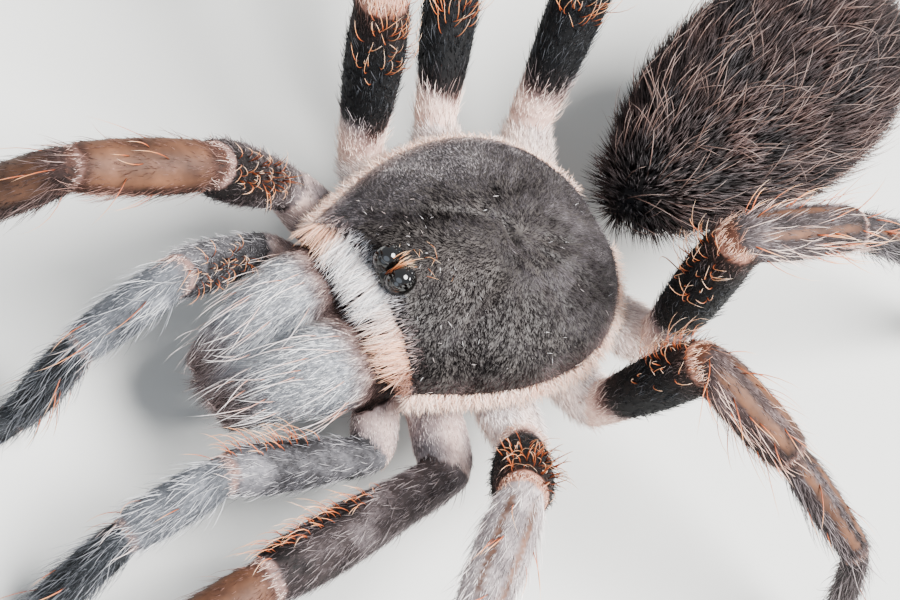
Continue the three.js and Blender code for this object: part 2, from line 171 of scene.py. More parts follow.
# Each light's place and size in metres, its power in watts and its colour.
LIGHTS = {
    "key": ((0.35, 0.3, 0.75), (0.6, 0.6), 53.0, (1.0, 0.99, 0.98)),
    "fill": ((0.4, -0.8, 0.5), (1.2, 0.9), 6.0, (0.72, 0.84, 1.0)),
}
SKY_STRENGTH = 0.9
FLOOR_SIZE = 6.0

shell_low, shell_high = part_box("carapace")
SHIFT = np.array(((shell_low.x + shell_high.x) / 2 / MM, shell_low.y / MM - CARAPACE["from"], 0.0))
made = {}


# ---- small helpers ----
def settings():
    return bpy.context.scene.tarantula


def unit(vectors):
    return vectors / np.maximum(np.linalg.norm(vectors, axis=-1, keepdims=True), 1e-9)


def flatten(directions, normals):
    """The directions turned into the surface."""
    return unit(directions - (directions * normals).sum(1, keepdims=True) * normals)


def smooth(low, high, value):
    """0 below low, 1 above high and a soft step between."""
    share = np.clip((value - low) / (high - low), 0, 1)
    return share * share * (3 - 2 * share)


def mottle(points, size, seed):
    """Soft blotches about size across, roughly -1 to 1, from a few crossed waves."""
    rng = np.random.default_rng(SEED + seed)
    total = np.zeros(len(points))
    for _ in range(7):
        wave = unit(rng.normal(size=3)) * (2 * math.pi / size) * rng.uniform(0.6, 1.5)
        total += np.sin(points @ wave + rng.uniform(0, 6.28) + 0.8 * np.sin(points @ np.roll(wave, 1)))
    return total / 3.2


def heading(turn, rise, side=1):
    a, e = math.radians(turn), math.radians(rise)
    return np.array((side * math.sin(a) * math.cos(e), -math.cos(a) * math.cos(e), math.sin(e)))


def to_metres(points):
    return (np.asarray(points) + SHIFT) * MM


def to_mm(points):
    return np.asarray(points) / MM - SHIFT


class Draw:
    """Seeded random numbers, one for each of count hairs."""

    def __init__(self, seed, count=0):
        self.rng, self.count = np.random.default_rng(SEED + seed), count

    def uniform(self, low=0.0, high=1.0):
        return self.rng.uniform(low, high, self.count)

    def normal(self, middle=0.0, spread=1.0):
        return self.rng.normal(middle, spread, self.count)

    def hairs(self, **ranges):
        """Sizes of the hairs: between the two numbers of a pair, or spread about 0 by a single one."""
        return {
            key: self.uniform(*value) if isinstance(value, tuple) else self.normal(0, value)
            for key, value in ranges.items()
        }


# ---- bones: the axes that skin and coat are built round ----
class Bone:
    """One joint of the body: its axis, its upper side and the skin's radius along it."""

    def __init__(self, part, kind, side, start, end, radii):
        self.part, self.kind, self.side = part, kind, side
        self.start, self.end = np.asarray(start, float), np.asarray(end, float)
        self.length = np.linalg.norm(self.end - self.start)
        self.along = (self.end - self.start) / self.length
        self.across = unit(np.cross(self.along, (0, 0, 1.0)))
        self.upper = np.cross(self.across, self.along)
        self.radii = np.asarray(radii, float)
        # distances from the axis are counted in radii, of at least this much
        self.least = 2.6 if part == "abdomen" else 0.4

    def radius(self, place):
        return np.interp(place, np.linspace(0, 1, len(self.radii)), self.radii)

    def at(self, places):
        """Points on the axis, one for each share of its length."""
        return self.start + np.asarray(places)[:, None] * self.length * self.along


def limb_bones(kind, side_name):
    limb, side, stance = LIMBS[kind], SIDES[side_name], STANCE[side_name][kind]
    hip = np.array(limb["hip"]) * (side, 1, 1)
    joints = [hip * (0.36, 0.7, 1) - (0, 0, 0.2), hip]
    last = len(limb["lengths"]) - 1
    for k, length in enumerate(limb["lengths"]):
        goal = (TOE if k == last else ANKLE) * limb["girth"] * limb["slim"]
        if k < last - 1:
            slope = stance["rise"][k]
        else:
            slope = math.degrees(math.asin((goal - joints[-1][2]) / length))
        joints.append(joints[-1] + heading(stance["turn"][min(k, 2)], slope, side) * length)
    parts = [part for part in PROFILES if kind != "palp" or part != "metatarsus"]
    bones = []
    for part, start, end in zip(parts, joints, joints[1:]):
        thick = limb["girth"] * (limb["slim"] if part in ("tibia", "metatarsus", "tarsus") else 1)
        bones.append(Bone(part, kind, side, start, end, np.array(PROFILES[part]) * thick - COAT_DEPTH[part]))
    return bones


def abdomen_radius(place):
    """Radius out to the tips of the coat, rounder behind its widest place than ahead of it."""
    widest = ABDOMEN["widest"]
    behind = place > widest
    away = abs(place - widest) / ((1 - widest) if behind else widest)
    return ABDOMEN["radius"] * ((1 - away**2.3) ** 0.5 if behind else (1 - away**1.9) ** 0.62)


def abdomen_bone():
    along = heading(180 - ABDOMEN["yaw"], ABDOMEN["pitch"])
    start = np.array(ABDOMEN["root"], float)
    places = np.linspace(0, 1, 30)
    radii = [max(0.3, abdomen_radius(0.02 + 0.96 * p) - COAT_DEPTH["abdomen"]) for p in places]
    radii = np.minimum(radii, 0.3 + 30 * np.minimum(places, 1 - places) ** 0.62)
    inset = COAT_DEPTH["abdomen"] * 0.9
    return Bone("abdomen", "abdomen", 1, start, start + along * (ABDOMEN["length"] - inset), radii)


def spinneret_bone(side, trunk):
    start = trunk.start + trunk.along * (ABDOMEN["length"] * 0.94)
    start = start - trunk.across * side * SPINNERET["spread"] + trunk.upper * SPINNERET["drop"]
    turn = math.radians(SPINNERET["splay"]) * -side
    along = math.cos(turn) * trunk.along + math.sin(turn) * trunk.across
    length = SPINNERET["length"] + ABDOMEN["length"] * 0.05
    radii = np.array((0.9, 1, 0.86, 0.9, 0.66, 0.3)) * SPINNERET["radius"] - COAT_DEPTH["spinneret"] * 0.6
    return Bone("spinneret", "abdomen", side, start, start + along * length, np.maximum(radii, 0.22))


def jaw_bone(side):
    start, end = (np.array(CHELICERA[key]) * (side, 1, 1) for key in ("base", "tip"))
    radii = np.array((0.84, 0.98, 1.0, 0.9, 0.7, 0.42)) * CHELICERA["tall"] - COAT_DEPTH["jaw"]
    return Bone("jaw", "jaw", side, start, end, radii)


BONES = [bone for kind in LIMBS for side_name in SIDES for bone in limb_bones(kind, side_name)]
ABDOMEN_BONE = abdomen_bone()
BONES.append(ABDOMEN_BONE)
BONES += [spinneret_bone(side, ABDOMEN_BONE) for side in SIDES.values()]
BONES += [jaw_bone(side) for side in SIDES.values()]
BONES.append(Bone("trunk", "trunk", 1, (0, -8.5, 9.4), (0, 8.0, 9.4), (6.4, 7.8, 8.2, 7.4)))


class Places:
    """Points on the body: each one's nearest bone, share along it and angle round it, 0 on top."""

    def __init__(self, points):
        self.points = points
        best = np.full(len(points), 1e9)
        self.bone_of = np.zeros(len(points), int)
        self.along, self.around = np.zeros(len(points)), np.zeros(len(points))
        for i, bone in enumerate(BONES):
            offset = points - bone.start
            free = offset @ bone.along / bone.length
            place = np.clip(free, 0, 1)
            offset = offset - place[:, None] * bone.length * bone.along
            distance = np.linalg.norm(offset, axis=1) / np.maximum(bone.radius(place), bone.least)
            # a place beyond the bone's end counts as farther off
            distance += 0.3 * np.abs(free - place) * bone.length
            nearer = distance < best
            best[nearer], self.bone_of[nearer], self.along[nearer] = distance[nearer], i, free[nearer]
            self.around[nearer] = np.arctan2(offset @ bone.across, offset @ bone.upper)[nearer]
        self.lateral = np.abs(self.around)
        # the angle counted from the top toward the limb's foreside
        self.inner = self.around * self.of(lambda bone: bone.side)

    def of(self, get):
        """A value of each point's bone."""
        return np.array([get(bone) for bone in BONES])[self.bone_of]

    def part_is(self, *parts):
        return self.of(lambda bone: bone.part in parts)

    def kind_is(self, *kinds):
        return self.of(lambda bone: float(bone.kind in kinds))

    def look_up(self, table):
        """Each point's value in a table of kinds or parts, 0 where it has none."""
        return self.of(lambda bone: table.get(bone.kind, table.get(bone.part, 0.0)))


# ---- markings, the same on skin and coat ----
def ring_share(at):
    """1 on the narrow rim at the far end of femur, patella and tibia."""
    rim = smooth(0.96, 0.975, at.along) * smooth(1.03, 1.0, at.along)
    return at.part_is("femur", "patella", "tibia") * rim


def stripe_share(at):
    """1 on the bald stripes along the top of patella and tibia, nearly the whole top on the first legs."""
    brown = at.look_up(BROWN)
    ends = smooth(0.02, 0.14, at.along) * smooth(0.97, 0.86, at.along)
    wide = 0.2 + 0.6 * np.maximum(brown - 0.3, 0)
    stripe = smooth(wide, wide * 0.6, np.abs(at.lateral - 0.5)) * smooth(0.1, 0.35, brown)
    bare = smooth(1.6, 1.2, at.lateral) * (0.8 + 0.15 * np.cos(6 * at.around)) * smooth(0.6, 0.9, brown)
    return at.part_is("patella", "tibia") * np.maximum(stripe * (brown < 0.8), bare) * ends


def markings(at):
    """tone from 0 black to 1 silver, warmth from 0 grey to 1 pink or rust, and how bald the skin is."""
    along, y = at.along, at.points[:, 1]
    front, brown = at.kind_is(*FRONT_LIMBS), at.look_up(BROWN)
    patella, tibia = at.look_up(PATELLA_TONE), at.look_up(TIBIA_TONE)
    blotch, fine = mottle(at.points, 5.0, 1), mottle(at.points, 1.6, 2)
    # under is the underside, where femur, patella and tibia are painted darker as shade
    under = smooth(1.5, 2.6, at.lateral)
    # foreside is the side toward the limb's front, where the front femora are painted darker as shade
    foreside = smooth(-0.1, 0.7, at.inner) * smooth(2.5, 1.9, at.inner) * smooth(0.3, 0.6, along)
    beyond = smooth(1.0, 1.03, along)
    # near the jaws' base: their own tan colour, and a painted shade under the fringe
    tan_and_fringe_shade = smooth(JAW_NECK - 2.6, JAW_NECK - 0.6, y)
    # the front femora pass from grey to their patella's tone, with painted shade on their foresides and
    # undersides, the others from pale hips to black thighs
    front_femur = (
        0.43 - 0.05 * brown - 0.16 * foreside - 0.2 * under + 0.08 * blotch
        + (patella - 0.43) * smooth(0.6, 0.98, along)
    )
    thigh = 0.9 - 0.9 * smooth(0.14, 0.34, along + 0.05 * blotch) + 0.15 * smooth(0.7, 1.0, along)
    thigh_warmth = 0.5 * (1 - smooth(0.15, 0.4, along)) + 0.6 * smooth(0.7, 1.0, along)
    # painted shade darkens the jaws' outer, lower sides; toward the tips they darken, partly their own colour
    # and partly painted shadow
    jaw = 0.72 - 0.22 * smooth(0.6, 2.2, -at.inner) - 0.34 * smooth(0.6, 1.0, along)
    # toward the base the jaws darken as painted shade under the fringe, and at the neck they are painted
    # nearly black as the shadow under it
    jaw = (jaw - (0.22 - 0.14 * fine) * tan_and_fringe_shade) * (1 - 0.9 * smooth(JAW_NECK - 0.9, JAW_NECK, y))
    # tone and warmth of each part
    looks = {
        "coxa": (0.93 - 0.24 * front + (0.06 + 0.06 * front) * blotch, 0.3 + 0.1 * blotch),
        "femur": (
            np.where(front > 0, front_femur, thigh) * (1 - beyond) + patella * beyond,
            np.where(front > 0, 0.06 + 0.14 * brown, thigh_warmth) + 0.6 * brown * beyond,
        ),
        # painted shade darkens the undersides of patella and tibia
        "patella": (patella - 0.24 * under + 0.08 * blotch, brown * 0.6),
        "tibia": (tibia - 0.2 * under + 0.08 * blotch, brown * 0.4),
        "metatarsus": (0.3 + 0.05 * blotch, brown * 0.4),
        "tarsus": (0.28 - 0.2 * smooth(1.6, 2.4, at.lateral), brown * 0.25),
        "jaw": (jaw, 0.42 * tan_and_fringe_shade + 0.3 * smooth(0.65, 1.0, along)),
        "abdomen": (0.08 + 0.04 * blotch, 0.22 + 0.1 * blotch),
        "spinneret": (0.22, 0.25),
        "trunk": (0.95 - 0.7 * smooth(9.4, 7.0, at.points[:, 2]), 0.3),
    }
    chosen = [at.part_is(part) for part in looks]
    tone, warmth = (np.select(chosen, choices) for choices in zip(*looks.values()))
    ring = ring_share(at) * np.where(at.part_is("femur"), 1 - under, 0.6)
    tone = tone + ring * (0.62 - tone)
    warmth = warmth + ring * (0.75 - 0.25 * front - warmth)
    return np.clip(tone + 0.04 * fine, 0, 1), np.clip(warmth, 0, 1), np.clip(stripe_share(at), 0, 1)


# ---- shell shape ----
def shell_share(y):
    return (y - CARAPACE["from"]) / CARAPACE["length"]


def shell_y(share):
    return CARAPACE["from"] + share * CARAPACE["length"]


def shell_half(share):
    """Half the shell's width at a share of its length."""
    width, front, widest = CARAPACE["width"] / 2, CARAPACE["front"], CARAPACE["widest"]
    rear = width * np.sqrt(np.clip(1 - (np.clip(share - widest, 0, 1) / (1 - widest)) ** 2.3, 0, 1))
    ahead = width * (front + (1 - front) * np.sin(np.clip(share / widest, 0, 1) * math.pi / 2) ** 1.1)
    return np.where(share > widest, rear, ahead)


def shell_height(x, y):
    """Height of the shell over its rim: raised head, grooves beside it, a pit behind it and rays."""
    share = np.clip(shell_share(y), 0, 1)
    behind = y - FOVEA_Y
    crest = CARAPACE["rise"] * np.interp(share, *zip(*CREST))
    across = np.abs(np.clip(x / np.maximum(shell_half(share), 0.05), -1, 1))
    bulge = np.maximum(0, 1 - across**2.4) ** 0.8
    inner = smooth(1.0, 0.8, across) * smooth(0.0, 0.05, share) * smooth(1.0, 0.9, share)
    # the groove that parts the head from the chest runs from each front corner back to the pit
    groove_x = 1.0 + 5.4 * (np.clip((FOVEA_Y - y) / (FOVEA_Y + 9.0), 0, 1.2)) ** 0.85
    groove = np.exp(-(((np.abs(x) - groove_x) / 0.75) ** 2))
    groove = groove * smooth(-9.0, -5.5, y) * smooth(FOVEA_Y + 0.5, FOVEA_Y - 2, y)
    angle, reach = np.arctan2(behind, np.abs(x)), np.hypot(x, behind)
    rays = sum(np.exp(-(((angle - ray) / 0.10) ** 2)) for ray in RAY_ANGLES)
    rays = rays * smooth(1.2, 3.0, reach) * smooth(8.6, 5.0, reach)
    pit = np.exp(-((x / 1.5) ** 2) - (behind / 0.42) ** 2)
    dip = np.exp(-((x / 2.8) ** 2) - (behind / 2.2) ** 2)
    return crest * bulge + (-0.34 * groove - 0.2 * rays - 0.7 * pit - 0.3 * dip) * inner


def mound_reach(x, y):
    """Distance from the middle of the eye mound as a share of its own half size."""
    return np.hypot(x / (EYE_MOUND["width"] / 2), (y - EYE_MOUND["at"][1]) / (EYE_MOUND["length"] / 2))


def shell_surface(x, y):
    """The shell's height with the low step that the eye mound stands on and the rounded front edge."""
    edge = smooth(0.03, 0.0, shell_share(y))
    edge = edge * smooth(1.0, 0.8, np.abs(x) / np.maximum(shell_half(shell_share(y)), 0.05))
    return shell_height(x, y) + 0.3 * smooth(1.5, 0.9, mound_reach(x, y)) - 0.45 * edge


def on_shell(x, y):
    return np.stack((x, y, CARAPACE["rim"] + shell_surface(x, y)), 1)


def mound_height(x, y):
    """Height of the eye mound over its base: two lobes, and the foot where it stands clear of them."""
    lobe = 1 - ((np.abs(x) - LOBE_OUT) / LOBE[0]) ** 2 - (y / LOBE[1]) ** 2
    foot = 1 - (x / FOOT[0]) ** 2 - (y / FOOT[1]) ** 2
    domes = (LOBE_LIFT + LOBE[2] * np.sqrt(np.maximum(0, lobe)), FOOT[2] * np.sqrt(np.maximum(0, foot)))
    return np.where(lobe > 0, *domes)


def mound_base():
    rear = EYE_MOUND["at"][1] + EYE_MOUND["length"] / 2
    return CARAPACE["rim"] + float(shell_height(np.array([0.0]), np.array([rear]))[0])


# ---- building helpers ----
def deselect():
    bpy.ops.object.select_all(action="DESELECT")


def only(piece):
    deselect()
    piece.select_set(True)
    bpy.context.view_layer.objects.active = piece


def read_points(piece):
    flat = np.empty(len(piece.data.vertices) * 3, np.float32)
    piece.data.vertices.foreach_get("co", flat)
    return flat.reshape(-1, 3).astype(float)


def write_points(piece, points):
    piece.data.vertices.foreach_set("co", np.asarray(points, np.float32).ravel())
    piece.data.update()


def join(pieces, name):
    only(pieces[0])
    for piece in pieces:
        piece.select_set(True)
    bpy.ops.object.join()
    pieces[0].name = name
    return pieces[0]


def apply_modifier(piece, kind, **values):
    only(piece)
    modifier = piece.modifiers.new(kind.title(), kind)
    for key, value in values.items():
        setattr(modifier, key, value)
    bpy.ops.object.modifier_apply(modifier=modifier.name)


def fuse(piece, grain, rounds):
    """Fuses what is joined into one closed skin of cells grain across, and smooths it."""
    apply_modifier(piece, "REMESH", mode="VOXEL", voxel_size=grain)
    apply_modifier(piece, "SMOOTH", factor=0.5, iterations=rounds)


def settle(piece):
    """Moves the piece's place into its mesh and turns its faces outward."""
    only(piece)
    bpy.ops.object.transform_apply(location=True, rotation=True, scale=True)
    bpy.ops.object.mode_set(mode="EDIT")
    bpy.ops.mesh.select_all(action="SELECT")
    bpy.ops.mesh.normals_make_consistent(inside=False)
    bpy.ops.object.mode_set(mode="OBJECT")
    bpy.ops.object.shade_smooth()


def drop_rim(piece, depth, times=1):
    """Extrudes a flat piece's rim downward and closes it below."""
    only(piece)
    bpy.ops.object.mode_set(mode="EDIT")
    for _ in range(times):
        bpy.ops.mesh.select_all(action="SELECT")
        bpy.ops.mesh.region_to_loop()
        bpy.ops.mesh.extrude_region_move(TRANSFORM_OT_translate={"value": (0, 0, -depth)})
    bpy.ops.mesh.edge_face_add()
    bpy.ops.object.mode_set(mode="OBJECT")


def add_tubes(name, runs, resolution=5):
    """Closed round tubes along lists of points, each point with its own radius, made from one curve."""
    deselect()
    bpy.ops.curve.primitive_bezier_curve_add(location=(0, 0, 0))
    bpy.context.object.name = name
    curve = bpy.context.object.data
    curve.splines.clear()
    for points, radii in runs:
        spline = curve.splines.new("POLY")
        spline.points.add(len(points) - 1)
        for knot, place, radius in zip(spline.points, to_metres(points), radii):
            knot.co = (*place, 1)
            knot.radius = radius
    curve.dimensions = "3D"
    curve.bevel_depth = MM
    curve.bevel_resolution = resolution
    curve.use_fill_caps = True
    bpy.ops.object.convert(target="MESH")
    return bpy.context.object


def mesh_piece(name, points, triangles):
    """A smooth mesh object from arrays of points and triangles."""
    mesh = bpy.data.meshes.new(name)
    mesh.vertices.add(len(points))
    mesh.vertices.foreach_set("co", np.asarray(points, np.float32).ravel())
    mesh.loops.add(len(triangles) * 3)
    mesh.loops.foreach_set("vertex_index", np.asarray(triangles, np.int32).ravel())
    mesh.polygons.add(len(triangles))
    mesh.polygons.foreach_set("loop_start", np.arange(0, len(triangles) * 3, 3, dtype=np.int32))
    mesh.polygons.foreach_set("use_smooth", np.ones(len(triangles), bool))
    mesh.update(calc_edges=True)
    piece = bpy.data.objects.new(name, mesh)
    bpy.context.scene.collection.objects.link(piece)
    return piece


def give_values(piece, values):
    """Writes each array as a value of the piece's points that materials can read."""
    for name, value in values.items():
        attribute = piece.data.attributes.new(name, "FLOAT", "POINT")
        attribute.data.foreach_set("value", np.asarray(value, np.float32))


def dress(piece, finish):
    piece.data.materials.clear()
    piece.data.materials.append(material_of(finish))


def hand_over(piece, finish, slot, *nodes):
    """Gives a finished piece its material and its body and hides the nodes that it stands for; its slot is
    not used.
    """
    dress(piece, finish)
    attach(piece, "root")
    if nodes:
        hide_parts(*nodes)


# ---- materials ----
def linear(hex_colour):
    """An sRGB hex colour as linear RGBA."""
    values = [int(hex_colour[i:i + 2], 16) / 255 for i in (1, 3, 5)]
    return (*[v / 12.92 if v <= 0.04045 else ((v + 0.055) / 1.055) ** 2.4 for v in values], 1.0)


def add_node(tree, kind, inputs, stops=(), out=0, **values):
    """Adds a node, sets its values, its ramp's stops and its inputs, links them, and gives one output."""
    node = tree.nodes.new("ShaderNode" + kind)
    for key, value in values.items():
        setattr(node, key, value)
    for _ in stops[2:]:
        node.color_ramp.elements.new(0.5)
    if stops:
        for element, (place, colour) in zip(node.color_ramp.elements, stops):
            element.position = place
            element.color = linear(colour)
    for key, value in inputs.items():
        if isinstance(value, bpy.types.NodeSocket):
            tree.links.new(value, node.inputs[key])
        else:
            node.inputs[key].default_value = value
    return node.outputs[out] if node.outputs else None


TONES = ((0.0, "#050506"), (0.2, "#212326"), (0.45, "#5d5f64"), (0.7, "#a1a2a6"), (1.0, "#f7f6f6"))
WARM_TONES = ((0.0, "#180b06"), (0.2, "#472514"), (0.45, "#86523a"), (0.7, "#d08e6a"), (1.0, "#ffc8a2"))


def marked_colour(tree, additions):
    """The body's markings: their tone, with additions about a middle, on a grey and a rust ramp."""
    tone = add_node(tree, "Attribute", {}, out="Fac", attribute_name="tone")
    warmth = add_node(tree, "Attribute", {}, out="Fac", attribute_name="warmth")
    for source, gain, middle in additions:
        tone = add_node(tree, "Math", {0: source, 1: gain, 2: tone}, operation="MULTIPLY_ADD")
        tone = add_node(tree, "Math", {0: tone, 1: gain * middle}, operation="SUBTRACT")
    grey, rust = (add_node(tree, "ValToRGB", {"Fac": tone}, stops) for stops in (TONES, WARM_TONES))
    return add_node(tree, "Mix", {0: warmth, 6: grey, 7: rust}, out=2, data_type="RGBA")


def hair_look(tree, spread, tip_gain):
    """Chitin hairs: dark at the root, paler at the tip, no two alike, with the body's markings."""
    tip, shade = (add_node(tree, "Attribute", {}, out="Fac", attribute_name=key) for key in ("tip", "shade"))
    return {"Base Color": marked_colour(tree, ((shade, spread, 0.5), (tip, tip_gain, 0.4)))}


def bristle_look(tree, *stops):
    """Long stout bristles: a dark socket, a coloured shaft and a bleached tip."""
    tip, shade = (add_node(tree, "Attribute", {}, out="Fac", attribute_name=key) for key in ("tip", "shade"))
    place = add_node(tree, "Math", {0: shade, 1: 0.3, 2: tip}, operation="MULTIPLY_ADD")
    place = add_node(tree, "Math", {0: place, 1: 0.15}, operation="SUBTRACT")
    shaft = add_node(tree, "ValToRGB", {"Fac": place}, stops)
    socket = add_node(tree, "ValToRGB", {"Fac": tip}, ((0.0, "#120c0a"), (0.07, "#ffffff")))
    both = {0: 1.0, 6: shaft, 7: socket}
    return {"Base Color": add_node(tree, "Mix", both, out=2, data_type="RGBA", blend_type="MULTIPLY")}


def skin_look(tree):
    """Soft cuticle under the coat: matt and fine-grained, smoother and browner on the bald stripes.

    Its grain is about 0.4 mm and its patches about 2.4 mm.
    """
    place = add_node(tree, "TexCoord", {}, out="Object")
    grain = add_node(tree, "TexNoise", {"Vector": place, "Scale": 2600.0, "Detail": 3.0})
    patch = add_node(tree, "TexNoise", {"Vector": place, "Scale": 420.0, "Detail": 4.0})
    bald = add_node(tree, "Attribute", {}, out="Fac", attribute_name="bald")
    coated = marked_colour(tree, ((grain, 0.3, 0.84), (patch, 0.2, 0.84)))
    stripe = add_node(tree, "ValToRGB", {"Fac": patch}, ((0.3, "#352015"), (0.7, "#62402c")))
    return {
        "Base Color": add_node(tree, "Mix", {0: bald, 6: coated, 7: stripe}, out=2, data_type="RGBA"),
        "Roughness": add_node(tree, "MapRange", {"Value": bald, "To Min": 0.75, "To Max": 0.6}),
        "Normal": add_node(tree, "Bump", {"Height": grain, "Strength": 0.5, "Distance": 0.06 * MM}),
    }


def hard_look(tree, scale, detail, stops, relief=None, stretch=None):
    """A bare surface: a faint mottle, stretched where it is grain, and pits or folds where it has relief."""
    place = add_node(tree, "TexCoord", {}, out="Object")
    if stretch:
        place = add_node(tree, "Mapping", {"Vector": place, "Scale": stretch})
    mottled = add_node(tree, "TexNoise", {"Vector": place, "Scale": scale, "Detail": detail})
    look = {"Base Color": add_node(tree, "ValToRGB", {"Fac": mottled}, stops)}
    if relief:
        pits, strength, depth = relief
        height = add_node(tree, "TexVoronoi", {"Vector": place, "Scale": pits}) if pits else mottled
        bump = {"Height": height, "Strength": strength, "Distance": depth * MM}
        look["Normal"] = add_node(tree, "Bump", bump)
    return look


BRISTLE = (bristle_look, 0.38, 1.55, 0.25)
# Each finish: its look, roughness, IOR and specular level, and the values of its look. Scales are cells
# to the metre, so 380 is a mottle of about 2.6 mm; the depth of relief is in millimetres.
FINISHES = {
    "cuticle": (skin_look, 0.75, 1.5, 0.2),
    # chitin under the pile: dark, a little glossy, pitted every 0.2 mm where hairs root
    "carapace_chitin": (
        hard_look, 0.5, 1.55, 0.15,
        380.0, 5.0, ((0.3, "#242120"), (0.55, "#35312f"), (0.75, "#46413e")), (5200.0, 0.6, 0.05),
    ),
    # clear glossy cornea over black
    "eye_lens": (hard_look, 0.05, 1.6, 0.5, 900.0, 2.0, ((0.3, "#020202"), (0.7, "#060505"))),
    # the black glossy knob that carries the eyes, faintly wrinkled every 0.6 mm
    "eye_mound_chitin": (
        hard_look, 0.07, 1.56, 0.36, 1800.0, 3.0, ((0.3, "#020202"), (0.7, "#080706")), (None, 0.04, 0.02),
    ),
    # hard polished horn, near black with a red-brown grain along it
    "fang_chitin": (
        hard_look, 0.18, 1.56, 0.5,
        1.0, 3.0, ((0.3, "#0d0706"), (0.7, "#2c140d")), None, (900.0, 150.0, 150.0),
    ),
    # plain pale matt paint with a barely uneven tone
    "studio_floor": (hard_look, 0.85, 1.5, 0.5, 9.0, 2.0, ((0.3, "#b9b9b5"), (0.7, "#c3c3c0"))),
    # chitin hairs, from the dull pile of the shell to the silky fringe: how far shades and tips differ
    "carapace_hair": (hair_look, 0.6, 1.55, 0.02, 0.22, 0.2),
    "fringe_hair": (hair_look, 0.36, 1.55, 0.12, 0.36, 0.14),
    "rim_hair": (hair_look, 0.45, 1.55, 0.12, 0.22, 0.15),
    "jaw_hair": (hair_look, 0.4, 1.55, 0.12, 0.45, 0.25),
    "limb_hair": (hair_look, 0.42, 1.55, 0.12, 0.3, 0.3),
    "ring_hair": (hair_look, 0.42, 1.55, 0.12, 0.14, 0.1),
    "abdomen_hair": (hair_look, 0.45, 1.55, 0.12, 0.22, 0.34),
    "hip_hair": (hair_look, 0.5, 1.55, 0.12, 0.25, 0.2),
    # stout polished bristles, rust on eyes and limbs, silvery on the jaws, dull brown on the abdomen
    "eye_bristle": (*BRISTLE, (0.0, "#4a2012"), (0.3, "#9a5028"), (0.6, "#cf8f5c"), (1.0, "#ecd0ae")),
    "jaw_bristle": (
        *BRISTLE, (0.0, "#6a3a2a"), (0.1, "#c98468"), (0.28, "#e3bfb2"), (0.5, "#efe0db"), (1.0, "#f8f4f2"),
    ),
    "limb_bristle": (*BRISTLE, (0.0, "#5e2a14"), (0.3, "#b3592f"), (0.6, "#d6925f"), (1.0, "#edcdb2")),
    "abdomen_bristle": (*BRISTLE, (0.0, "#14100f"), (0.35, "#3b2d29"), (0.65, "#6b544c"), (1.0, "#8d7b74")),
}


def material_of(finish):
    """The finish's material, made when it is first asked for."""
    if finish not in made:
        look, roughness, ior, specular, *values = FINISHES[finish]
        material = bpy.data.materials.new(finish)
        material.use_nodes = True
        tree = material.node_tree
        tree.nodes.clear()
        inputs = {"Roughness": roughness, "IOR": ior, "Specular IOR Level": specular, **look(tree, *values)}
        add_node(tree, "OutputMaterial", {"Surface": add_node(tree, "BsdfPrincipled", inputs)})
        made[finish] = material
    return made[finish]


# ---- coat ----
class Surface:
    """A finished mesh that hairs root on. Its vertices from first_new on were extruded."""

    def __init__(self, piece, first_new=None):
        mesh = piece.data
        mesh.calc_loop_triangles()
        corners = np.empty(len(mesh.loop_triangles) * 3, np.int32)
        mesh.loop_triangles.foreach_get("vertices", corners)
        self.corners = corners.reshape(-1, 3)
        if first_new:
            # extruded faces come in another order on each run, so their triangles are sorted
            new = self.corners.max(1) >= first_new
            self.corners[new] = self.corners[new][np.lexsort(self.corners[new].T)]
        self.points = to_mm(read_points(piece))
        normals = np.empty(len(mesh.vertices) * 3, np.float32)
        mesh.vertex_normals.foreach_get("vector", normals)
        self.normals = normals.reshape(-1, 3).astype(float)
        a, b, c = (self.points[self.corners[:, k]] for k in range(3))
        self.areas = np.linalg.norm(np.cross(b - a, c - a), axis=1) / 2
        self.middles = (a + b + c) / 3

    def scatter(self, draw, density, weight):
        """Random roots and their normals, density per square millimetre times each triangle's weight."""
        shares = self.areas * weight
        draw.count = draw.rng.poisson(density * settings().density * shares.sum())
        picked = np.searchsorted(np.cumsum(shares), draw.uniform(0, shares.sum()))
        corners = self.corners[np.minimum(picked, len(shares) - 1)]
        u, v = draw.rng.uniform(size=(2, draw.count))
        folded = u + v > 1
        u[folded], v[folded] = 1 - u[folded], 1 - v[folded]
        weights = np.stack((1 - u - v, u, v), 1)[:, :, None]
        return (self.points[corners] * weights).sum(1), unit((self.normals[corners] * weights).sum(1))


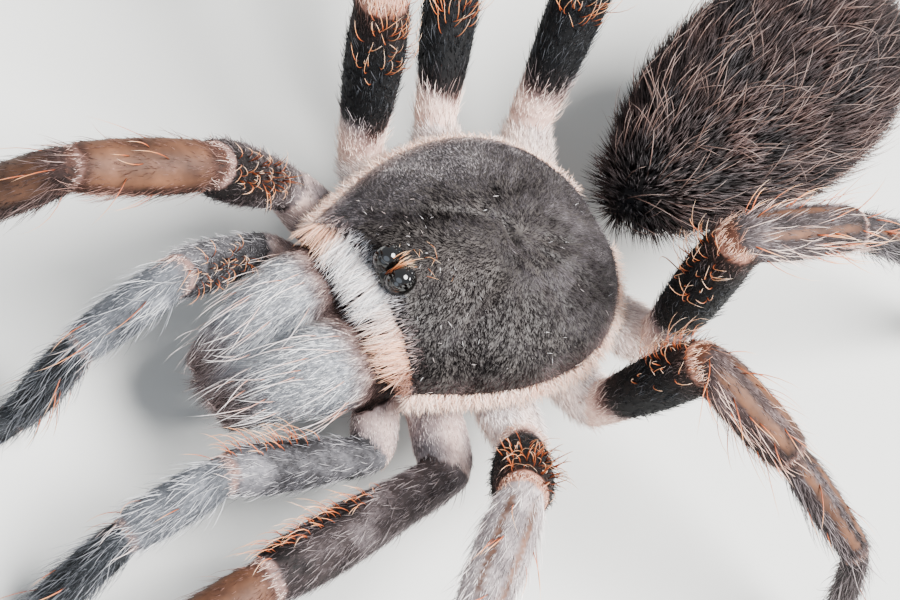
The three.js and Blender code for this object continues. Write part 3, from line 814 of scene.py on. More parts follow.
def grow(name, roots, normals, lies, places, steps, finish, slot, values, length, width, lift, **turns):
    """Solid tapering hairs as one mesh. Angles are radians, lengths millimetres, each one number per hair.

    lies is where a hair points along the surface, places its root on the coat's unwrap and lift how steeply
    it leaves the surface. Its turns are bend, the share of its lift lost at the tip, and curl, sideways.
    """
    count = len(roots)
    bend, curl = (np.broadcast_to(turns.get(key, 0), count) for key in ("bend", "curl"))
    rows = np.arange(steps + 1) / steps
    side = np.cross(lies, normals)
    point = roots - normals * ROOT_DEPTH
    centres, runs = [point], []
    for k in range(steps):
        share = (k + 0.5) / steps
        up = lift * (1 - bend * share)
        out = curl * share
        flat = lies * np.cos(out)[:, None] + side * np.sin(out)[:, None]
        step = flat * np.cos(up)[:, None] + normals * np.sin(up)[:, None]
        point = point + step * (length / steps)[:, None]
        point[:, 2] = np.maximum(point[:, 2], ABOVE_FLOOR)
        centres.append(point)
        runs.append(step)
    vertices, tips, offsets = [], [], []
    for k in range(steps):
        step = unit(runs[k] + runs[max(k - 1, 0)])
        across = unit(np.cross(step, normals))
        upward = np.cross(across, step)
        thick = (width / 2) * (1 - TAPER * rows[k] ** 1.4)
        for sideways, raised in CORNERS:
            corner = centres[k] + across * (thick * sideways)[:, None] + upward * (thick * raised)[:, None]
            vertices.append(corner)
            tips.append(np.full(count, rows[k]))
            offsets.append((sideways * PATCH * 0.5, rows[k] * PATCH + (raised > 0) * PATCH * 0.12))
    vertices.append(centres[-1])
    tips.append(np.ones(count))
    offsets.append((0.0, PATCH))
    per_hair = 3 * steps + 1
    faces = [(0, 2, 1)]
    for k in range(steps - 1):
        for i in range(3):
            a, b = 3 * k + i, 3 * k + (i + 1) % 3
            faces += [(a, b, b + 3), (a, b + 3, a + 3)]
    faces += [(3 * steps - 3 + i, 3 * steps - 3 + (i + 1) % 3, 3 * steps) for i in range(3)]
    corners = (np.arange(count)[:, None, None] * per_hair + np.array(faces)).reshape(-1, 3)
    piece = mesh_piece(name, to_metres(np.stack(vertices, 1).reshape(-1, 3)), corners)
    give_values(piece, {"tip": np.stack(tips, 1).ravel()})
    give_values(piece, {key: np.repeat(value, per_hair) for key, value in values.items()})
    atlas = np.repeat(places, per_hair, axis=0) + np.tile(np.array(offsets), (count, 1))
    layer = piece.data.uv_layers.new(name="OFBake")
    layer.data.foreach_set("uv", atlas[corners.ravel()].astype(np.float32).ravel())
    hand_over(piece, finish, slot)


def body_places(at):
    """Roots on the unwrap: each bone's skin is a chart, cut open along its underside."""
    u = at.bone_of % ATLAS + CHART_EDGE + CHART * (at.around / (2 * math.pi) + 0.5)
    v = at.bone_of // ATLAS + CHART_EDGE + CHART * at.along
    return np.stack((u, v), 1) / ATLAS


def shell_places(points):
    """Roots on the unwrap of the shell, which is laid flat."""
    return 0.5 + 0.8 * (points[:, :2] - (0, shell_y(0.5))) / CARAPACE["length"]


def coat_on_shell(name, roots, normals, lies, steps, finish, values, slot="carapace", **hairs):
    grow(name, roots, normals, lies, shell_places(roots), steps, finish, slot, values, **hairs)


def coat_on_body(
    name, seed, density, weight, steps, finish, slot, tint=None, shape=None, keep=None, **ranges,
):
    """Roots hairs on the skin by weight, their sizes drawn from the ranges.

    tint changes their values by place, shape their sizes, and keep says which of them stay.
    """
    draw = Draw(seed)
    roots, normals = made["skin"].scatter(draw, density, weight)
    at = Places(roots)
    tone, warmth, at.bald = markings(at)
    at.draw, at.values = draw, {"tone": tone, "warmth": warmth, "shade": draw.uniform()}
    if tint:
        tint(at)
    ranges.setdefault("turn", USUAL_TURN)
    hairs = draw.hairs(**ranges)
    if shape:
        shape(at, hairs)
    stays = keep(at) if keep else np.ones(draw.count, bool)
    turn = hairs.pop("turn")[:, None]
    lies = flatten(at.of(lambda bone: bone.along), normals)
    lies = lies * np.cos(turn) + np.cross(normals, lies) * np.sin(turn)
    values = {key: value[stays] for key, value in at.values.items()}
    hairs = {key: value[stays] for key, value in hairs.items()}
    places = body_places(at)[stays]
    grow(name, roots[stays], normals[stays], lies[stays], places, steps, finish, slot, values, **hairs)


# ---- settings, operators and panel ----
class TarantulaSettings(bpy.types.PropertyGroup):
    grain: FloatProperty(
        name="Skin grain", description="Size of the cells that the skin is fused from",
        default=0.38 * MM, min=0.2 * MM, max=1 * MM, unit="LENGTH",
    )
    density: FloatProperty(
        name="Coat density", description="Share of the full number of hairs", default=1.0, min=0.05, max=1.2,
        subtype="FACTOR",
    )
    lens: FloatProperty(
        name="Lens", description="Focal length of the camera in millimetres", default=138.5, min=20, max=300,
    )
    distance: FloatProperty(
        name="Camera distance", description="From the camera to the middle of the shell", default=0.25,
        min=0.1, max=2, unit="LENGTH",
    )
    light: FloatProperty(name="Light", description="Strength of the studio light", default=1.0, min=0, max=5)
    sky: FloatVectorProperty(
        name="Sky", description="Colour of the light from all round", default=(0.86, 0.9, 0.95), size=3,
        subtype="COLOR", min=0, max=1,
    )


class TARANTULA_OT_skin(Operator):
    """Fuse the soft body, the limbs and the jaws into one skin"""

    bl_idname = "tarantula.skin"
    bl_label = "Skin"

    def limb_tubes(self):
        places = (0, 0.05, 0.12, 0.25, 0.4, 0.55, 0.7, 0.84, 0.93, 1.0)
        pinch = np.array((0.84, 0.93, 1, 1, 1, 1, 1, 1, 1, 0.9))
        bones = [bone for bone in BONES if bone.part in PROFILES or bone.part == "spinneret"]
        return add_tubes("limbs", [(bone.at(places), bone.radius(places) * pinch) for bone in bones])

    def knees(self):
        """Balls that round the joints and the toes."""
        balls = []
        for bone in BONES:
            ends = [(bone.start, bone.radius(0.0) * KNEE_BALL)] if bone.part in LIMB_PARTS else []
            if bone.part == "tarsus":
                ends.append((bone.end, bone.radius(1.0) * TOE_BALL))
            for place, radius in ends:
                deselect()
                place, radius = to_metres(place), radius * MM
                bpy.ops.mesh.primitive_ico_sphere_add(subdivisions=3, radius=radius, location=place)
                balls.append(bpy.context.object)
        return balls

    def abdomen(self):
        """A tube with an arched back, flattened a little."""
        bone = ABDOMEN_BONE
        places = np.linspace(0, 1, 36)
        points = bone.at(places) + (bone.radius(places) * ABDOMEN["arch"])[:, None] * bone.upper
        piece = add_tubes("abdomen_flesh", [(points, bone.radius(places))], resolution=10)
        model = to_mm(read_points(piece))
        height = (model - bone.start) @ bone.upper
        model -= (height * (1 - ABDOMEN["flat"]))[:, None] * bone.upper
        write_points(piece, to_metres(model))
        return piece

    def jaw(self, side):
        """A bowed tube, made boxy on its outer side and nearly flat where it meets the other jaw."""
        bone = next(b for b in BONES if b.part == "jaw" and b.side == side)
        places = np.linspace(-0.3, 1, 20)
        points = bone.start + places[:, None] * (bone.end - bone.start)
        points[:, 2] += CHELICERA["bow"] * np.sin(math.pi * np.maximum(places, 0))
        piece = add_tubes("jaw_flesh", [(points, bone.radius(places))], resolution=8)
        model = to_mm(read_points(piece))
        free = (model - bone.start) @ bone.along / bone.length
        place = np.clip(free, 0, 1)
        middle = bone.start[0] + free * (bone.end - bone.start)[0]
        widths = np.interp(place, np.linspace(0, 1, 6), (0.96, 0.98, 0.92, 0.82, 0.7, 0.46))
        wide = widths * CHELICERA["half"] - COAT_DEPTH["jaw"]
        off = (model[:, 0] - middle) * side / bone.radius(place)
        reach = np.where(off < 0, side * middle - 0.1 - 0.15 * smooth(0.3, 0.8, place), wide)
        model[:, 0] = middle + side * np.sign(off) * np.abs(off) ** np.where(off < 0, 0.6, 0.85) * reach
        write_points(piece, to_metres(model))
        return piece

    def bridge(self):
        """The soft membrane between the roots of the two jaws."""
        x = np.linspace(-2.8, 2.8, 5)
        points = np.stack((x, np.full(5, -11.5), np.full(5, 12.3)), 1)
        return add_tubes("jaw_bridge", [(points, np.full(5, 1.9))], resolution=6)

    def trunk(self):
        """The flanks under the shell and the breastplate between the hips."""
        heights, shares = np.array(((11.7, 0.93), (10.2, 0.89), (8.2, 0.72), (6.5, 0.44))).T
        deselect()
        bpy.ops.mesh.primitive_circle_add(vertices=64, radius=1, fill_type="NGON", location=(0, 0, 0))
        piece = bpy.context.object
        drop_rim(piece, 1, times=3)
        circle = read_points(piece)
        level = np.rint(-circle[:, 2]).astype(int)
        share = shares[level]
        along = np.clip(circle[:, 1] / 2 + 0.5, 0, 1)
        model = np.empty_like(circle)
        half = shell_half(along * CARAPACE["end"]) * share
        model[:, 0] = np.sign(circle[:, 0]) * half * (np.abs(circle[:, 0]) > 1e-4)
        model[:, 1] = shell_y(0.5 + (along - 0.5) * (share + 0.02))
        model[:, 2] = heights[level]
        write_points(piece, to_metres(model))
        return piece

    def execute(self, context):
        pieces = [self.limb_tubes(), self.abdomen(), self.jaw(1), self.jaw(-1), self.bridge(), self.trunk()]
        skin = join(pieces + self.knees(), "skin")
        settle(skin)
        fuse(skin, settings().grain, 3)
        only(skin)
        bpy.ops.object.shade_smooth()
        give_values(skin, dict(zip(("tone", "warmth", "bald"), markings(Places(to_mm(read_points(skin)))))))
        flesh = [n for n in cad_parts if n.startswith(("palp_", "leg", "chelicera_", "spinneret_"))]
        hand_over(skin, "cuticle", "limb", "underbody", "abdomen", *flesh)
        made["skin"] = Surface(skin)
        made["skin_places"] = Places(made["skin"].middles)
        return {"FINISHED"}


class TARANTULA_OT_shell(Operator):
    """Model the carapace with its raised head, grooves and central pit"""

    bl_idname = "tarantula.shell"
    bl_label = "Carapace"

    def execute(self, context):
        deselect()
        bpy.ops.mesh.primitive_grid_add(x_subdivisions=120, y_subdivisions=120, size=2, location=(0, 0, 0))
        shell = context.object
        shell.name = "carapace_shell"
        square = read_points(shell)
        # the grid's square becomes the outline: even spacing across, closer rows at both ends
        share = (0.5 - 0.5 * np.cos((square[:, 1] + 1) / 2 * math.pi * 0.96 + 0.04 * math.pi)) ** 0.94
        share = (share - share.min()) / (share.max() - share.min()) * CARAPACE["end"]
        x = np.sin(square[:, 0] * math.pi / 2) * shell_half(share)
        write_points(shell, to_metres(on_shell(x, shell_y(share))))
        drop_rim(shell, CARAPACE["thick"] * MM)
        points = read_points(shell)
        points[len(square):, 2] = (CARAPACE["rim"] - CARAPACE["thick"]) * MM
        write_points(shell, points)
        settle(shell)
        made["shell"] = Surface(shell, first_new=len(square))
        hand_over(shell, "carapace_chitin", "carapace", "carapace")
        return {"FINISHED"}


class TARANTULA_OT_eyes(Operator):
    """Model the eye mound and its eight lenses"""

    bl_idname = "tarantula.eyes"
    bl_label = "Eyes"

    def ball(self, radius, place):
        deselect()
        bpy.ops.mesh.primitive_uv_sphere_add(segments=48, ring_count=32, radius=radius, location=place)
        return bpy.context.object

    def mound(self):
        """Two domes side by side on a low foot, fused and smoothed."""
        middle = np.array((*EYE_MOUND["at"], mound_base()))
        parts = []
        for offset, lift, size in ((LOBE_OUT, LOBE_LIFT, LOBE), (-LOBE_OUT, LOBE_LIFT, LOBE), (0, 0, FOOT)):
            parts.append(self.ball(1, (0, 0, 0)))
            write_points(parts[-1], to_metres(read_points(parts[-1]) * size + middle + (offset, 0, lift)))
        mound = join(parts, "eye_knob")
        fuse(mound, MOUND_GRAIN, 40)
        settle(mound)
        hand_over(mound, "eye_mound_chitin", "mound", "eye_mound")

    def execute(self, context):
        self.mound()
        for name, (x, y), radius in EYES:
            height = mound_height(x, y)
            outward = unit(np.array((x - LOBE_OUT, y, height - LOBE_LIFT)) / LOBE**2)
            inset = outward * radius * (1 - EYE_SINK - LENS_FLATNESS)
            centre = np.array((x, y, mound_base() + height)) + inset
            for side_name, side in SIDES.items():
                place = to_metres(centre * (side, 1, 1) + (*EYE_MOUND["at"], 0))
                lens = self.ball(radius * LENS_FLATNESS * MM, place)
                lens.name = f"lens_{name}_{side_name}"
                settle(lens)
                hand_over(lens, "eye_lens", "eye", f"eye_{name}_{side_name}")
        return {"FINISHED"}


class TARANTULA_OT_fangs(Operator):
    """Model the fangs folded under the jaws"""

    bl_idname = "tarantula.fangs"
    bl_label = "Fangs"

    def execute(self, context):
        angle = np.linspace(0, math.pi / 2, 24)
        back, down = (1 - np.cos(angle)) * FANG["length"] * 0.72, -np.sin(angle) * FANG["length"] * 0.38
        radii = FANG["radius"] * np.concatenate(((0.9,), 1 - 0.9 * (angle / angle[-1]) ** 1.1))
        for side_name, side in SIDES.items():
            root = np.array(FANG["root"]) * (side, 1, 1)
            points = np.vstack((root + (0, 0, 0.5), root + np.stack((0 * angle, back, down), 1)))
            fang = add_tubes(f"fang_horn_{side_name}", [(points, radii)], resolution=8)
            settle(fang)
            hand_over(fang, "fang_chitin", "fang", f"fang_{side_name}")
        return {"FINISHED"}


class TARANTULA_OT_pile(Operator):
    """Lay the short pile and the loose hairs over the carapace"""

    bl_idname = "tarantula.pile"
    bl_label = "Carapace pile"

    def lie(self, roots):
        """Pile runs outward from the pit, and forward over the head, in soft swirls."""
        ahead = smooth(1.5, -3.0, roots[:, 1])
        x = roots[:, 0] * (1.0 + 0.5 * ahead)
        y = roots[:, 1] - FOVEA_Y * (1 - ahead)
        swirl = 0.55 * mottle(roots, 6.0, 3)
        x, y, level = unit(np.stack((x, y - 0.6, 0 * x), 1)).T
        across, back = x * np.cos(swirl) - y * np.sin(swirl), x * np.sin(swirl) + y * np.cos(swirl)
        return np.stack((across, back, level), 1)

    def off_eyes(self, x, y):
        """1 clear of the eye mound, 0 on it."""
        return smooth(0.9, 1.05, mound_reach(x, y))

    def pile(self, k, weight):
        draw = Draw(20 + k)
        roots, normals = made["shell"].scatter(draw, PILE_DENSITY / 2, weight)
        x, y, _ = roots.T
        lies = flatten(self.lie(roots) + draw.rng.normal(0, 0.34, roots.shape), normals)
        rim = smooth(0.86, 1.0, np.abs(x) / np.maximum(shell_half(shell_share(y)), 1))
        front = smooth(0.04, 0.01, shell_share(y))
        # painted shade: the pile is darker toward the front, more so on the animal's left
        head = smooth(6.0, -8.0, y - 0.4 * x)
        # painted light: the pile is made lighter toward the rear slope
        rear = 0.07 * smooth(-6.0, 3.0, y) + 0.14 * smooth(5.5, 9.0, y)
        # the pile is paler over the front half of the animal's right side
        paler_right_front = smooth(-3.0, -7.5, x) * smooth(9.0, 3.0, y)
        blotch, speck, patch = (mottle(roots, size, seed) for size, seed in ((3.4, 4), (1.1, 5), (4.5, 6)))
        tone = 0.11 - 0.09 * head + rear + 0.42 * paler_right_front + 0.06 * blotch + 0.06 * speck
        tone = tone + 0.09 * smooth(0.1, 0.7, patch) + 0.2 * rim + 0.3 * front
        values = {"tone": np.clip(tone, 0, 1), "warmth": 0.12 + 0.2 * rim, "shade": draw.uniform()}
        hairs = draw.hairs(length=(0.32, 0.68), width=(0.05, 0.08), lift=(0.16, 0.46))
        coat_on_shell(f"carapace_pile_{k + 1}", roots, normals, lies, 1, "carapace_hair", values, **hairs)

    def specks(self):
        """Single silvery hairs, made pale partly as painted glints, most of them behind the eyes."""
        draw = Draw(25, int(SPECKS * settings().density))
        behind = draw.uniform() < 0.5
        share = np.where(behind, draw.uniform(0.14, 0.36), draw.uniform(0.05, 0.94))
        x = shell_half(share) * np.where(behind, 0.3 * draw.normal(), draw.uniform(-0.9, 0.9))
        y = shell_y(share)
        clear = self.off_eyes(x, y) > 0.9
        x, y, draw.count = x[clear], y[clear], int(clear.sum())
        roots = on_shell(x, y)
        normals = unit(np.stack((0.06 * x, 0.03 * y, np.ones(draw.count)), 1))
        lies = flatten(self.lie(roots) + draw.rng.normal(0, 0.7, roots.shape), normals)
        values = {"tone": draw.uniform(0.6, 1.0), "warmth": draw.uniform(0, 0.3)}
        values["shade"] = np.full(draw.count, 0.5)
        hairs = draw.hairs(length=(0.3, 0.7), width=(0.04, 0.06), lift=(0.2, 0.6), bend=(0.5, 1.2), curl=0.3)
        coat_on_shell("carapace_specks", roots, normals, lies, 2, "carapace_hair", values, **hairs)

    def execute(self, context):
        shell = made["shell"]
        upper = shell.normals[shell.corners].mean(1)[:, 2] > 0.02
        weight = self.off_eyes(*shell.middles.T[:2]) * upper
        for k in range(2):
            self.pile(k, weight)
        self.specks()
        return {"FINISHED"}


class TARANTULA_OT_fringes(Operator):
    """Comb the silver fringe over the jaws and the pale one round the rim"""

    bl_idname = "tarantula.fringes"
    bl_label = "Fringes"

    def front(self):
        """A silver bank with long separate hairs arching from it over the jaws, peach toward both ends."""
        short, long, behind = (int(number * settings().density) for number in FRINGE.values())
        draw = Draw(30, short + long + behind)
        number = np.arange(draw.count)
        fading = number >= short + long
        reaching = (number >= short) & ~fading
        x = draw.uniform(-7.35, 7.35)
        back = np.where(fading, 0.3 + 1.3 * draw.uniform(), 0.4 * draw.uniform() ** 1.5)
        roots = on_shell(x, CARAPACE["from"] + 0.02 + back)
        normals = unit(np.stack((0.09 * x, np.where(fading, -0.12, -0.45), np.ones(draw.count)), 1))
        wave = 0.16 * np.sin(2.1 * x + 0.7) + 0.12 * np.sin(5.3 * x) + 0.12 * np.sin(13 * x + 1)
        sideways = 0.16 - 0.085 * x - 0.06 * np.minimum(x + 1, 0) + wave + draw.normal(0, 0.1)
        sideways = sideways - 0.9 * smooth(-5.6, -7.2, x)
        lies = flatten(np.stack((sideways, np.full(draw.count, -1.0), np.full(draw.count, -0.3)), 1), normals)
        ends = np.maximum(smooth(-3.8, -6.0, x), smooth(0.8, 5.2, x))
        rust = smooth(5.9, 6.8, x + draw.normal(0, 0.3))
        tone = 1.0 - 0.5 * rust - np.abs(draw.normal(0, 0.12)) - fading * (0.05 + 0.35 * back)
        warmth = 0.08 + draw.normal(0, 0.1) + 0.78 * ends - 0.15 * rust
        warmth = warmth * (1 - 0.7 * fading * np.minimum(back, 1))
        values = {"tone": np.clip(tone, 0, 1), "warmth": np.clip(warmth, 0, 1), "shade": draw.uniform()}
        length = np.where(reaching, draw.uniform(1.9, 3.6), draw.uniform(0.8, 1.7) * (1 - 0.3 * fading))
        coat_on_shell(
            "fringe_front", roots, normals, lies, 5, "fringe_hair", values,
            length=length * (1 - 0.35 * rust) * (1 - 0.25 * smooth(5.5, 7.4, np.abs(x))),
            width=np.where(reaching, 0.06, 0.055), lift=draw.uniform(0.1, 0.5) + 0.25 * fading + 0.4 * rust,
            bend=1.3 + 0.3 * np.sin(2.7 * x) + draw.normal(0, 0.22),
            curl=draw.normal(0, 0.25) + rust * draw.normal(0, 1.6),
        )

    def rim(self):
        """Soft pale hairs that stand out sideways all round the carapace's margin."""
        draw = Draw(31, int(RIM_HAIRS * settings().density))
        share = CARAPACE["end"] * (0.5 - 0.5 * np.cos(draw.uniform(0.06, 1) * math.pi))
        x = draw.rng.choice((-1, 1), draw.count) * shell_half(share)
        y = shell_y(share)
        outward = unit(np.stack((x / 1.1, y + 0.5, 0 * y), 1))
        roots = np.stack((x, y, CARAPACE["rim"] - draw.uniform(0.0, 0.9)), 1) - outward * 0.05
        normals = unit(outward + (0, 0, 0.5))
        lies = flatten(outward * 0.6 + (0, 0, -0.5) + draw.rng.normal(0, 0.3, roots.shape), normals)
        values = {"tone": np.full(draw.count, 0.95), "warmth": np.clip(draw.normal(0.6, 0.12), 0, 1)}
        values["shade"] = draw.uniform()
        hairs = draw.hairs(length=(0.8, 1.7), width=(0.05, 0.08), lift=(0.5, 1.1), bend=(0.3, 1.0), curl=0.4)
        coat_on_shell("fringe_rim", roots, normals, lies, 3, "rim_hair", values, **hairs)

    def execute(self, context):
        self.front()
        self.rim()
        return {"FINISHED"}


class TARANTULA_OT_eye_bristles(Operator):
    """Set the rust bristles between the eyes and the loose trail behind them"""

    bl_idname = "tarantula.eye_bristles"
    bl_label = "Eye bristles"

    def execute(self, context):
        between, trail = EYE_BRISTLES.values()
        draw = Draw(40, between + trail)
        pick = draw.rng
        x = np.concatenate((pick.uniform(-0.36, 0.36, between), pick.normal(0.2, 1.1, trail)))
        y = np.concatenate((pick.uniform(-0.95, -0.55, between), pick.uniform(1.8, 4.6, trail)))
        on_mound = np.arange(draw.count) < between
        roots = on_shell(x, y + EYE_MOUND["at"][1])
        roots[:, 2] = np.where(on_mound, mound_base() + mound_height(x, y) - 0.05, roots[:, 2])
        normals = unit(np.stack((0.2 * x, 0 * x, np.ones(draw.count)), 1))
        backward = np.stack((-0.22 + 0.2 * draw.normal() - 0.3 * x, np.ones(draw.count), 0 * x), 1)
        loose = np.stack((draw.normal(), draw.normal() * 0.6, 0 * x), 1)
        lies = flatten(np.where(on_mound[:, None], backward, loose), normals)
        coat_on_shell(
            "eye_bristles", roots, normals, lies, 6, "eye_bristle", slot="mound",
            length=np.where(on_mound, draw.uniform(2.2, 3.0), draw.uniform(0.5, 1.2)),
            width=np.where(on_mound, 0.075, 0.055), lift=np.where(on_mound, draw.uniform(1.05, 1.4), 0.5),
            bend=np.where(on_mound, 1.55, 1.3), curl=draw.normal(0, 0.18),
            values={"shade": draw.uniform() * np.where(on_mound, 1.0, 2.0)},
        )
        return {"FINISHED"}


class TARANTULA_OT_jaw_coat(Operator):
    """Cover the jaws with short pile and long sweeping bristles"""

    bl_idname = "tarantula.jaw_coat"
    bl_label = "Jaw coat"

    def along_seam(self, at, hairs):
        """Pile is longer and stands up along the seam between the jaws."""
        seam = smooth(1.4, 0.3, np.abs(at.points[:, 0])) * smooth(JAW_NECK, JAW_NECK - 2, at.points[:, 1])
        hairs["length"] *= 1 + 1.4 * seam
        hairs["lift"] += 0.35 * seam

    def paler(self, at):
        at.values["tone"] = np.clip(at.values["tone"] + 0.25, 0, 1)

    def shorter(self, at, hairs):
        hairs["length"] *= 1.05 - 0.45 * at.along

    def execute(self, context):
        skin = made["skin_places"]
        # the jaw pile reaches back over the neck, where the markings paint it dark as the shadow under the
        # fringe
        jaws = skin.part_is("jaw") * smooth(JAW_NECK + 1.2, JAW_NECK + 0.6, skin.points[:, 1])
        coat_on_body(
            "jaw_pile", 50, 85, jaws, 1, "jaw_hair", "chelicera", shape=self.along_seam,
            length=(0.5, 1.0), width=(0.045, 0.07), lift=(0.08, 0.4), turn=0.16,
        )
        coat_on_body(
            "jaw_silver_hairs", 51, 2.6, jaws, 3, "jaw_hair", "chelicera", tint=self.paler,
            keep=lambda at: (at.lateral < 2.2) & (at.along > 0.08),
            length=(1.2, 2.8), width=(0.035, 0.055), lift=(0.15, 0.45), bend=(0.8, 1.6), curl=0.15, turn=0.2,
        )
        coat_on_body(
            "jaw_bristles", 52, 0.45, jaws, 5, "jaw_bristle", "chelicera", shape=self.shorter,
            keep=lambda at: (at.along > 0.12) & (at.along < 0.85) & (at.lateral < 1.6),
            length=(4.2, 7.4), width=(0.055, 0.08), lift=(0.3, 0.65), bend=(0.9, 1.5), curl=0.14, turn=0.26,
        )
        return {"FINISHED"}


class TARANTULA_OT_limb_coat(Operator):
    """Lay the coat of the legs and palps: pile, long hairs, pale rings and rust bristles"""

    bl_idname = "tarantula.limb_coat"
    bl_label = "Limb coat"

    def pile(self, at, hairs):
        hairs["length"] *= at.look_up(PILE_LENGTH) * (1 - 0.45 * smooth(0.9, 1.0, at.along))
        hairs["lift"] *= at.look_up(PILE_LIFT)

    def golden(self, at):
        """Long hairs are paler than the pile, and golden on the rear knees."""
        rear = at.part_is("patella") * at.kind_is(*REAR_LEGS)
        at.values["tone"] = np.clip(at.values["tone"] + 0.14 + 0.3 * rear, 0, 1)
        at.values["warmth"] = np.clip(at.values["warmth"] + 0.3 * rear, 0, 1)

    def reach(self, at, hairs):
        hairs["length"] *= at.look_up(HAIR_REACH)

    def pale(self, at):
        """Ring hairs are cream, warmer and paler on the black thighs."""
        femur, rear = at.part_is("femur"), self.on_thigh(at)
        at.values["tone"] = np.clip(at.draw.normal(0.78, 0.1) - 0.1 * (1 - femur) + 0.1 * rear, 0, 1)
        at.values["warmth"] = np.clip(at.draw.normal(0.5, 0.15) + 0.3 * rear, 0, 1)

    def on_thigh(self, at):
        return at.part_is("femur") * (1 - at.kind_is(*FRONT_LIMBS))

    def ring(self, at, hairs):
        hairs["length"] *= 1 + 0.6 * self.on_thigh(at)

    def knee_weight(self, skin):
        """The far tops of the femora, on their foresides in the front limbs."""
        front = skin.kind_is(*FRONT_LIMBS)
        edge = np.abs(skin.inner - 0.75 * front)
        top = smooth(np.where(front > 0, 0.6, 1.3), np.where(front > 0, 0.3, 0.5), edge)
        far = smooth(np.where(front > 0, 0.3, 0.5), np.where(front > 0, 0.5, 0.75), skin.along)
        return skin.part_is("femur") * top * far * (skin.along < 0.99)

    def execute(self, context):
        skin = made["skin_places"]
        coated = skin.part_is(*LIMB_PARTS) * (1 - 0.9 * markings(skin)[2])
        striped = skin.part_is("patella", "tibia") * (1 - skin.kind_is("palp"))
        thinned = coated * (1 - 0.75 * striped * smooth(1.3, 0.8, skin.lateral))
        for s, (side_name, side) in enumerate(SIDES.items()):
            mine = skin.of(lambda bone: bone.side == side)
            for k, kinds in enumerate((FRONT_LIMBS, ("leg2", "leg3"), ("leg4",))):
                weight = coated * mine * skin.kind_is(*kinds)
                coat_on_body(
                    f"limb_pile_{side_name}_{k + 1}", 60 + 3 * s + k, 22, weight, 1, "limb_hair", "limb",
                    shape=self.pile, length=(0.55, 1.15), width=(0.05, 0.085), lift=(0.3, 1.35),
                )
            coat_on_body(
                f"limb_hairs_{side_name}", 70 + s, 3.0, thinned * mine, 3, "limb_hair", "limb",
                tint=self.golden, shape=self.reach, keep=lambda at: at.bald < 0.4,
                length=(0.6, 1.2), width=(0.045, 0.075), lift=(0.2, 0.62), bend=(0.4, 1.3), curl=0.25,
            )
        coat_on_body(
            "joint_rings", 72, 32, ring_share(skin) * np.where(skin.part_is("tibia"), 0.3, 1.0), 3,
            "ring_hair", "limb", tint=self.pale, shape=self.ring, keep=lambda at: at.along < 1.02,
            length=(0.3, 0.6), width=(0.045, 0.065), lift=(0.2, 0.6), bend=(0.6, 1.6), curl=0.2,
        )
        coat_on_body(
            "knee_bristles", 73, 3.0, self.knee_weight(skin), 5, "limb_bristle", "femur",
            length=(1.7, 3.7), width=(0.07, 0.1), lift=(0.9, 1.4), bend=(0.7, 1.5), curl=0.4, turn=0.3,
        )
        loose = skin.part_is("patella", "tibia", "metatarsus") * (skin.lateral < 2.4)
        loose = loose * (0.3 + 0.7 * skin.part_is("patella") * skin.kind_is(*REAR_LEGS))
        coat_on_body(
            "loose_bristles", 74, 0.32, loose, 5, "limb_bristle", "limb",
            length=(2.2, 5.0), width=(0.07, 0.11), lift=(0.35, 0.9), bend=(0.6, 1.4), curl=0.35, turn=0.35,
        )
        return {"FINISHED"}


class TARANTULA_OT_body_coat(Operator):
    """Lay the velvet of the abdomen and its long rust hairs, and the pale velvet of hips and flanks"""

    bl_idname = "tarantula.body_coat"
    bl_label = "Body coat"

    def velvet(self, at, hairs):
        """Velvet stands up at the abdomen's front."""
        fore = at.part_is("abdomen") * smooth(0.16, 0.03, at.along)
        hairs["length"] *= 1 + 0.3 * fore
        hairs["lift"] += 0.6 * fore

    def lock(self, at):
        return mottle(at.points, 2.6, 9)

    def in_locks(self, at):
        at.values["shade"] = np.clip(0.45 + 0.6 * self.lock(at) + at.draw.normal(0, 0.2), 0, 1)

    def swirl(self, at, hairs):
        hairs["curl"] += 0.5 * mottle(at.points, 4.0, 10)
        hairs["turn"] += 0.6 * mottle(at.points, 3.4, 8)

    def plush(self, at, hairs):
        """Plush is shorter and flatter on the front hips."""
        fore = at.kind_is(*FRONT_LIMBS)
        hairs["length"] *= 1 - 0.45 * fore
        hairs["lift"] *= 1 - 0.4 * fore

    def execute(self, context):
        skin = made["skin_places"]
        rear = skin.part_is("abdomen", "spinneret")
        coat_on_body(
            "abdomen_velvet", 80, 21, rear, 1, "abdomen_hair", "abdomen", shape=self.velvet,
            length=(1.0, 2.2), width=(0.08, 0.13), lift=(0.35, 0.8),
        )
        coat_on_body(
            "abdomen_bristles", 81, 1.9, rear, 4, "abdomen_bristle", "abdomen", tint=self.in_locks,
            shape=self.swirl,
            keep=lambda at: at.part_is("abdomen") & (self.lock(at) + at.draw.normal(0, 0.25) > -0.15),
            length=(2.6, 5.2), width=(0.075, 0.12), lift=(0.3, 0.75), bend=(0.7, 1.6), curl=0.3, turn=0.16,
        )
        x, y, z = skin.points.T
        covered = (np.abs(x) < shell_half(shell_share(y)) * 0.9) & (z > 11.2) & (np.abs(y) < 10.5)
        coat_on_body(
            "hip_plush", 82, 26, skin.part_is("coxa", "trunk") * (1 - covered), 1, "hip_hair", "underbody",
            shape=self.plush, length=(0.6, 1.3), width=(0.06, 0.1), lift=(0.2, 0.7),
        )
        return {"FINISHED"}


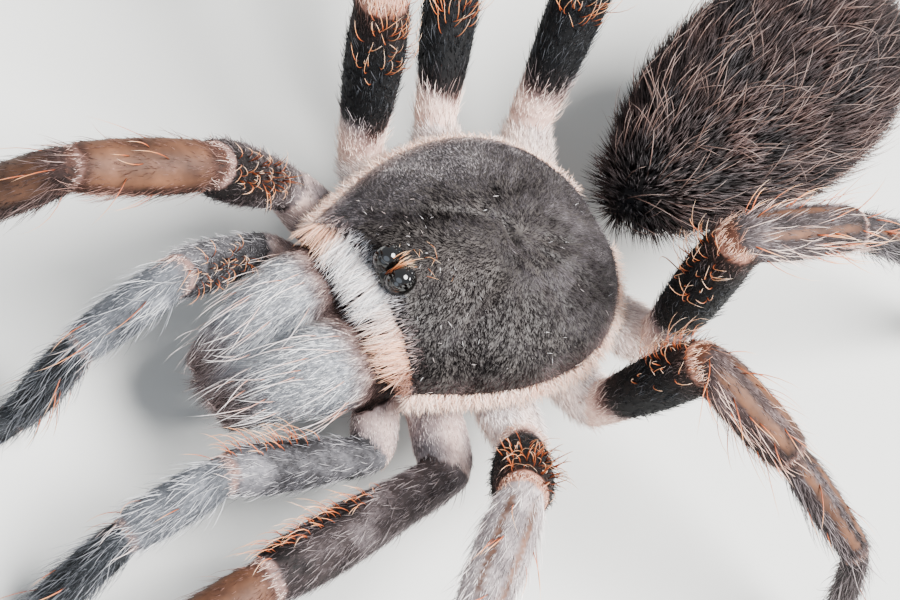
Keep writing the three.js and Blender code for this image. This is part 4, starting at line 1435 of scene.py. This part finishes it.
class TARANTULA_OT_studio(Operator):
    """Set the floor, the soft lights and the camera"""

    bl_idname = "tarantula.studio"
    bl_label = "Studio"

    def light(self, name, place, size, power, colour):
        data = bpy.data.lights.new(name, "AREA")
        data.shape = "ELLIPSE"
        data.size, data.size_y = size
        data.energy = power * settings().light
        data.color = colour
        lamp = bpy.data.objects.new(name, data)
        bpy.context.scene.collection.objects.link(lamp)
        lamp.location = place
        aim = Vector(to_metres((0, 0, 10)))
        lamp.rotation_euler = (aim - Vector(place)).to_track_quat("-Z", "Y").to_euler()

    def camera(self):
        """Stands ahead of the animal's left side, high, and rolled."""
        aim = Vector(to_metres((0, 0, CARAPACE["rim"]))) + Vector(CAMERA["aim"]) * MM
        back = Vector(heading(CAMERA["azimuth"], CAMERA["elevation"]))
        roll = math.radians(CAMERA["roll"])
        level = Vector((0, 0, 1)).cross(back).normalized()
        right = math.cos(roll) * level + math.sin(roll) * back.cross(level)
        data = bpy.data.cameras.new("camera")
        data.lens = settings().lens
        data.sensor_width = 36.0
        data.clip_start, data.clip_end = 0.01, 10.0
        camera = bpy.data.objects.new("camera", data)
        bpy.context.scene.collection.objects.link(camera)
        turn = Matrix((right, back.cross(right), back)).transposed().to_4x4()
        camera.matrix_world = Matrix.Translation(aim + back * settings().distance) @ turn
        bpy.context.scene.camera = camera

    def execute(self, context):
        deselect()
        bpy.ops.mesh.primitive_plane_add(size=FLOOR_SIZE, location=(0, 0, 0))
        floor = context.object
        floor.name = "studio_floor"
        dress(floor, "studio_floor")
        for name, values in LIGHTS.items():
            self.light(name, *values)
        world = bpy.data.worlds.new("soft_sky")
        world.use_nodes = True
        sky = world.node_tree.nodes["Background"]
        sky.inputs["Color"].default_value = (*settings().sky, 1)
        sky.inputs["Strength"].default_value = SKY_STRENGTH
        context.scene.world = world
        self.camera()
        return {"FINISHED"}


OPERATORS = (
    TARANTULA_OT_skin, TARANTULA_OT_shell, TARANTULA_OT_eyes, TARANTULA_OT_fangs, TARANTULA_OT_pile,
    TARANTULA_OT_fringes, TARANTULA_OT_eye_bristles, TARANTULA_OT_jaw_coat, TARANTULA_OT_limb_coat,
    TARANTULA_OT_body_coat, TARANTULA_OT_studio,
)


class TARANTULA_PT_panel(bpy.types.Panel):
    """The animal's settings and the steps that build it"""

    bl_idname = "TARANTULA_PT_panel"
    bl_label = "Tarantula"
    bl_space_type = "VIEW_3D"
    bl_region_type = "UI"
    bl_category = "Tarantula"

    def draw(self, context):
        for name in ("grain", "density", "lens", "distance", "light", "sky"):
            self.layout.prop(context.scene.tarantula, name)
        for operator in OPERATORS:
            self.layout.operator(operator.bl_idname)


CLASSES = (TarantulaSettings, *OPERATORS, TARANTULA_PT_panel)


def register():
    for entry in CLASSES:
        bpy.utils.register_class(entry)
    bpy.types.Scene.tarantula = PointerProperty(type=TarantulaSettings)


def unregister():
    del bpy.types.Scene.tarantula
    for entry in reversed(CLASSES):
        bpy.utils.unregister_class(entry)


def main():
    register()
    for operator in OPERATORS:
        step = operator.bl_idname.split(".")[1]
        getattr(bpy.ops.tarantula, step)()


if __name__ == "__main__":
    main()
